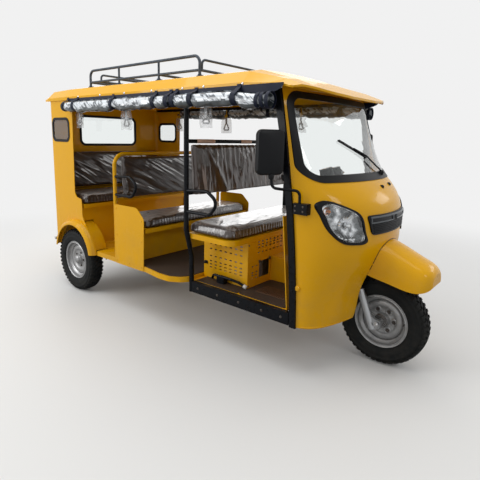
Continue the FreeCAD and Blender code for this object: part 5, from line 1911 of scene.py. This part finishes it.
def build_hand_straps():
    knobs = []
    loops = []
    grips = []
    for side in (-1, 1):
        label = side_name(side)
        for index, (x, half, top, bottom) in enumerate(HAND_STRAPS):
            y = side * STRAP_Y
            anchor = at(x, y, top + 12)
            knobs.append(turned(((16, 0), (17, 4), (15, 12), (10, 17), (3, 18)), anchor, (0, -side, 0), 22))
            knobs.append(bar_along([at(x, y, 1616), anchor], 0.0035, 8))
            drop = 58
            loops.append(band([anchor + Vector((0, 0, 0.002)), at(x - 3.0, y, top - 0.4 * drop),
                               at(x, y, top - drop)], (1, 0, 0), 0.022, 0.0022))
            grip = [at(x - 34, y, bottom + 30), at(x + 34, y, bottom + 30), at(x + 8.0, y, top - drop),
                    at(x - 8.0, y, top - drop)]
            ring = []
            for a, b in zip(grip, grip[1:] + grip[:1]):
                ring += [a * 0.82 + b * 0.18, (a + b) / 2, a * 0.18 + b * 0.82]
            grips.append(bar_along(ring, 0.0062, 12, ring=True))
            rows = []
            levels = 22
            around = 40
            for r in range(levels + 1):
                share = r / levels
                z = (top - (top - bottom) * share) * MM
                neck = 0.80 + 0.20 * min(1.0, share * 5.0) ** 0.7
                thin = 0.35 + 0.65 * math.sin(math.pi * min(1.0, 0.12 + 0.8 * share))
                row = []
                for k in range(around):
                    turn = 2 * math.pi * k / around
                    wide = half * MM * neck * math.copysign(abs(math.cos(turn)) ** 0.6, math.cos(turn))
                    deep = 0.012 * thin * math.copysign(abs(math.sin(turn)) ** 0.8, math.sin(turn))
                    spot = Vector((anchor.x + wide, y * MM + deep, z))
                    crumple = 0.0045 * noise.noise(spot * 42 + Vector((index, side, 0)))
                    spot.y += crumple + 0.003 * math.sin(wide * 190 + share * 4)
                    row.append(spot)
                rows.append(row)
            verts, faces = ringed(rows, False)
            bag = make_piece("strap_bag_%s_%d" % (label, index + 1), verts, faces, "clear_bag",
                             slot="curtain_film")
    trim("strap_knobs", knobs, "amber_plastic", slot="black_plastic")
    trim("strap_webbing", loops, "strap_white", slot="black_plastic")
    trim("strap_grips", grips, "strap_white", slot="black_plastic")


class RICKSHAW_OT_fittings(bpy.types.Operator):
    """Add the screws, feet, mats and hand straps"""
    bl_idname = "rickshaw.fittings"
    bl_label = "Fittings"

    def execute(self, context):
        build_fasteners()
        build_floor_trim()
        build_hand_straps()
        return {"FINISHED"}


# Stage

# Place in millimetres, and the view's shift as shares of its width
CAMERA_PLACE = (3401.9, -2497.8, 1364.3)
CAMERA_YAW = math.radians(39.547)
CAMERA_PITCH = math.radians(10.155)
CAMERA_ROLL = math.radians(1.3015)
CAMERA_SHIFT = (0.001, -0.0552)


def add_area(name, place, target, size, power):
    """A soft lamp, size wide and high, that the camera itself doesn't see."""
    lamp = bpy.data.lights.new(name, "AREA")
    lamp.energy = power
    lamp.shape = "RECTANGLE"
    lamp.size, lamp.size_y = size
    holder = bpy.data.objects.new(name, lamp)
    holder.visible_camera = False
    holder.visible_transmission = False
    holder.location = place
    holder.rotation_euler = (Vector(target) - Vector(place)).to_track_quat("-Z", "Y").to_euler()
    bpy.context.scene.collection.objects.link(holder)


def add_camera(settings):
    """The camera that took the photo, turned down by its pitch and then leaning by its roll."""
    camera = bpy.data.cameras.new("photo_camera")
    camera.lens = settings.lens
    camera.sensor_width = 36.0
    camera.shift_x, camera.shift_y = CAMERA_SHIFT
    camera.clip_end = 200
    level = Vector((-math.sin(CAMERA_YAW), math.cos(CAMERA_YAW), 0.0)) * math.cos(CAMERA_PITCH)
    ahead = level - Vector((0, 0, math.sin(CAMERA_PITCH)))
    right = Vector((math.cos(CAMERA_YAW), math.sin(CAMERA_YAW), 0.0))
    up = right.cross(ahead)
    lean_cos, lean_sin = math.cos(CAMERA_ROLL), math.sin(CAMERA_ROLL)
    turn = Matrix((right * lean_cos + up * lean_sin, up * lean_cos - right * lean_sin, -ahead))
    holder = bpy.data.objects.new("photo_camera", camera)
    holder.matrix_world = Matrix.Translation(at(*CAMERA_PLACE)) @ turn.transposed().to_4x4()
    bpy.context.scene.collection.objects.link(holder)
    bpy.context.scene.camera = holder


FLOOR_HALF = 40.0


def add_floor(settings):
    """A pale floor that keeps the shadow, and past it turns into the surround that is seen above it."""
    mesh = bpy.data.meshes.new("floor")
    mesh.from_pydata([(-FLOOR_HALF, -FLOOR_HALF, 0), (FLOOR_HALF, -FLOOR_HALF, 0),
                      (FLOOR_HALF, FLOOR_HALF, 0), (-FLOOR_HALF, FLOOR_HALF, 0)], [], [(0, 1, 2, 3)])
    floor = bpy.data.objects.new("floor", mesh)
    bpy.context.scene.collection.objects.link(floor)
    paint = Paint("floor")
    path = paint.node("ShaderNodeLightPath")
    paint.mix_colour(path.outputs["Is Camera Ray"], shade(settings.floor, 0.55), settings.floor)
    paint.set(Roughness=0.55, Specular_IOR_Level=0.2)
    reach = paint.node("ShaderNodeVectorMath", {0: object_place(paint.tree)}, operation="LENGTH")
    fade = paint.node("ShaderNodeMapRange", {
        "Value": reach.outputs["Value"], "From Min": settings.fade_start, "From Max": settings.fade_end},
                      interpolation_type="SMOOTHSTEP")
    amount = add_math(paint.tree, "MULTIPLY", fade.outputs["Result"], seen_ray(paint.tree))
    glow = paint.node("ShaderNodeEmission", {"Color": (*settings.surround, 1.0)})
    mixer = paint.node("ShaderNodeMixShader", {
        "Fac": amount, 1: paint.shader.outputs["BSDF"], 2: glow.outputs["Emission"]})
    end = next(n for n in paint.tree.nodes if n.type == "OUTPUT_MATERIAL")
    paint.link(mixer.outputs["Shader"], end.inputs["Surface"])
    mesh.materials.append(paint.material)


def seen_ray(tree):
    """One for rays that show the surround: from the camera, a reflection or through glass."""
    rays = tree.nodes.new("ShaderNodeLightPath").outputs
    total = rays["Is Camera Ray"]
    for name in ("Is Glossy Ray", "Is Transmission Ray"):
        total = add_math(tree, "MAXIMUM", total, rays[name])
    return total


def set_world(settings):
    world = bpy.data.worlds.new("surround")
    world.use_nodes = True
    bpy.context.scene.world = world
    tree = world.node_tree
    background = next(n for n in tree.nodes if n.type == "BACKGROUND")
    background.inputs["Color"].default_value = (1.0, 1.0, 1.0, 1.0)
    background.inputs["Strength"].default_value = settings.sky
    seen = add_node(tree, "ShaderNodeBackground", {"Color": (*settings.surround, 1.0), "Strength": 1.0})
    mixer = add_node(tree, "ShaderNodeMixShader", {
        "Fac": seen_ray(tree), 1: background.outputs[0], 2: seen.outputs[0]})
    end = next(n for n in tree.nodes if n.type == "OUTPUT_WORLD")
    tree.links.new(mixer.outputs[0], end.inputs["Surface"])


class RICKSHAW_OT_stage(bpy.types.Operator):
    """Set the camera, the floor, the surround and the lamps"""
    bl_idname = "rickshaw.stage"
    bl_label = "Stage"

    def execute(self, context):
        settings = context.scene.rickshaw_stage
        add_camera(settings)
        add_floor(settings)
        set_world(settings)
        target = (0.3, 0.0, 0.9)
        add_area("overhead", (0.0, -0.4, 5.0), target, (5.0, 5.0), 150)
        add_area("nose_light", (5.2, -1.0, 3.4), target, (1.0, 1.0), 22)
        add_area("side_light", (-3.4, -4.8, 2.8), target, (3.0, 3.0), 150)
        add_area("far_window", (-4.2, 3.4, 2.3), (-0.4, -0.3, 0.9), (6.0, 3.0), 62)
        add_area("nose_window", (3.4, 4.2, 2.8), (1.2, 0.0, 0.9), (1.8, 1.1), 22)
        view = context.scene.view_settings
        view.view_transform = "Standard"
        view.look = "None"
        return {"FINISHED"}


class RICKSHAW_PT_panel(bpy.types.Panel):
    """The steps that dress the rickshaw"""
    bl_label = "Auto rickshaw"
    bl_idname = "RICKSHAW_PT_panel"
    bl_space_type = "VIEW_3D"
    bl_region_type = "UI"
    bl_category = "Rickshaw"

    def draw(self, context):
        for step in STEPS:
            self.layout.operator(step.bl_idname)


SETTINGS = (
    ("rickshaw_colours", RickshawColours),
    ("rickshaw_tyres", RickshawTyres),
    ("rickshaw_seats", RickshawSeats),
    ("rickshaw_stage", RickshawStage),
)
STEPS = (
    RICKSHAW_OT_stage,
    RICKSHAW_OT_paint,
    RICKSHAW_OT_tyres,
    RICKSHAW_OT_rims,
    RICKSHAW_OT_seats,
    RICKSHAW_OT_curtains,
    RICKSHAW_OT_lamps,
    RICKSHAW_OT_nose,
    RICKSHAW_OT_controls,
    RICKSHAW_OT_fittings,
)


def register():
    for name, kind in SETTINGS:
        bpy.utils.register_class(kind)
        setattr(bpy.types.Scene, name, PointerProperty(type=kind))
    for step in STEPS:
        bpy.utils.register_class(step)
    bpy.utils.register_class(RICKSHAW_PT_panel)


def unregister():
    bpy.utils.unregister_class(RICKSHAW_PT_panel)
    for step in reversed(STEPS):
        bpy.utils.unregister_class(step)
    for name, kind in reversed(SETTINGS):
        delattr(bpy.types.Scene, name)
        bpy.utils.unregister_class(kind)


def main():
    register()
    for step in STEPS:
        prefix, name = step.bl_idname.split(".")
        getattr(getattr(bpy.ops, prefix), name)()


if __name__ == "__main__":
    main()
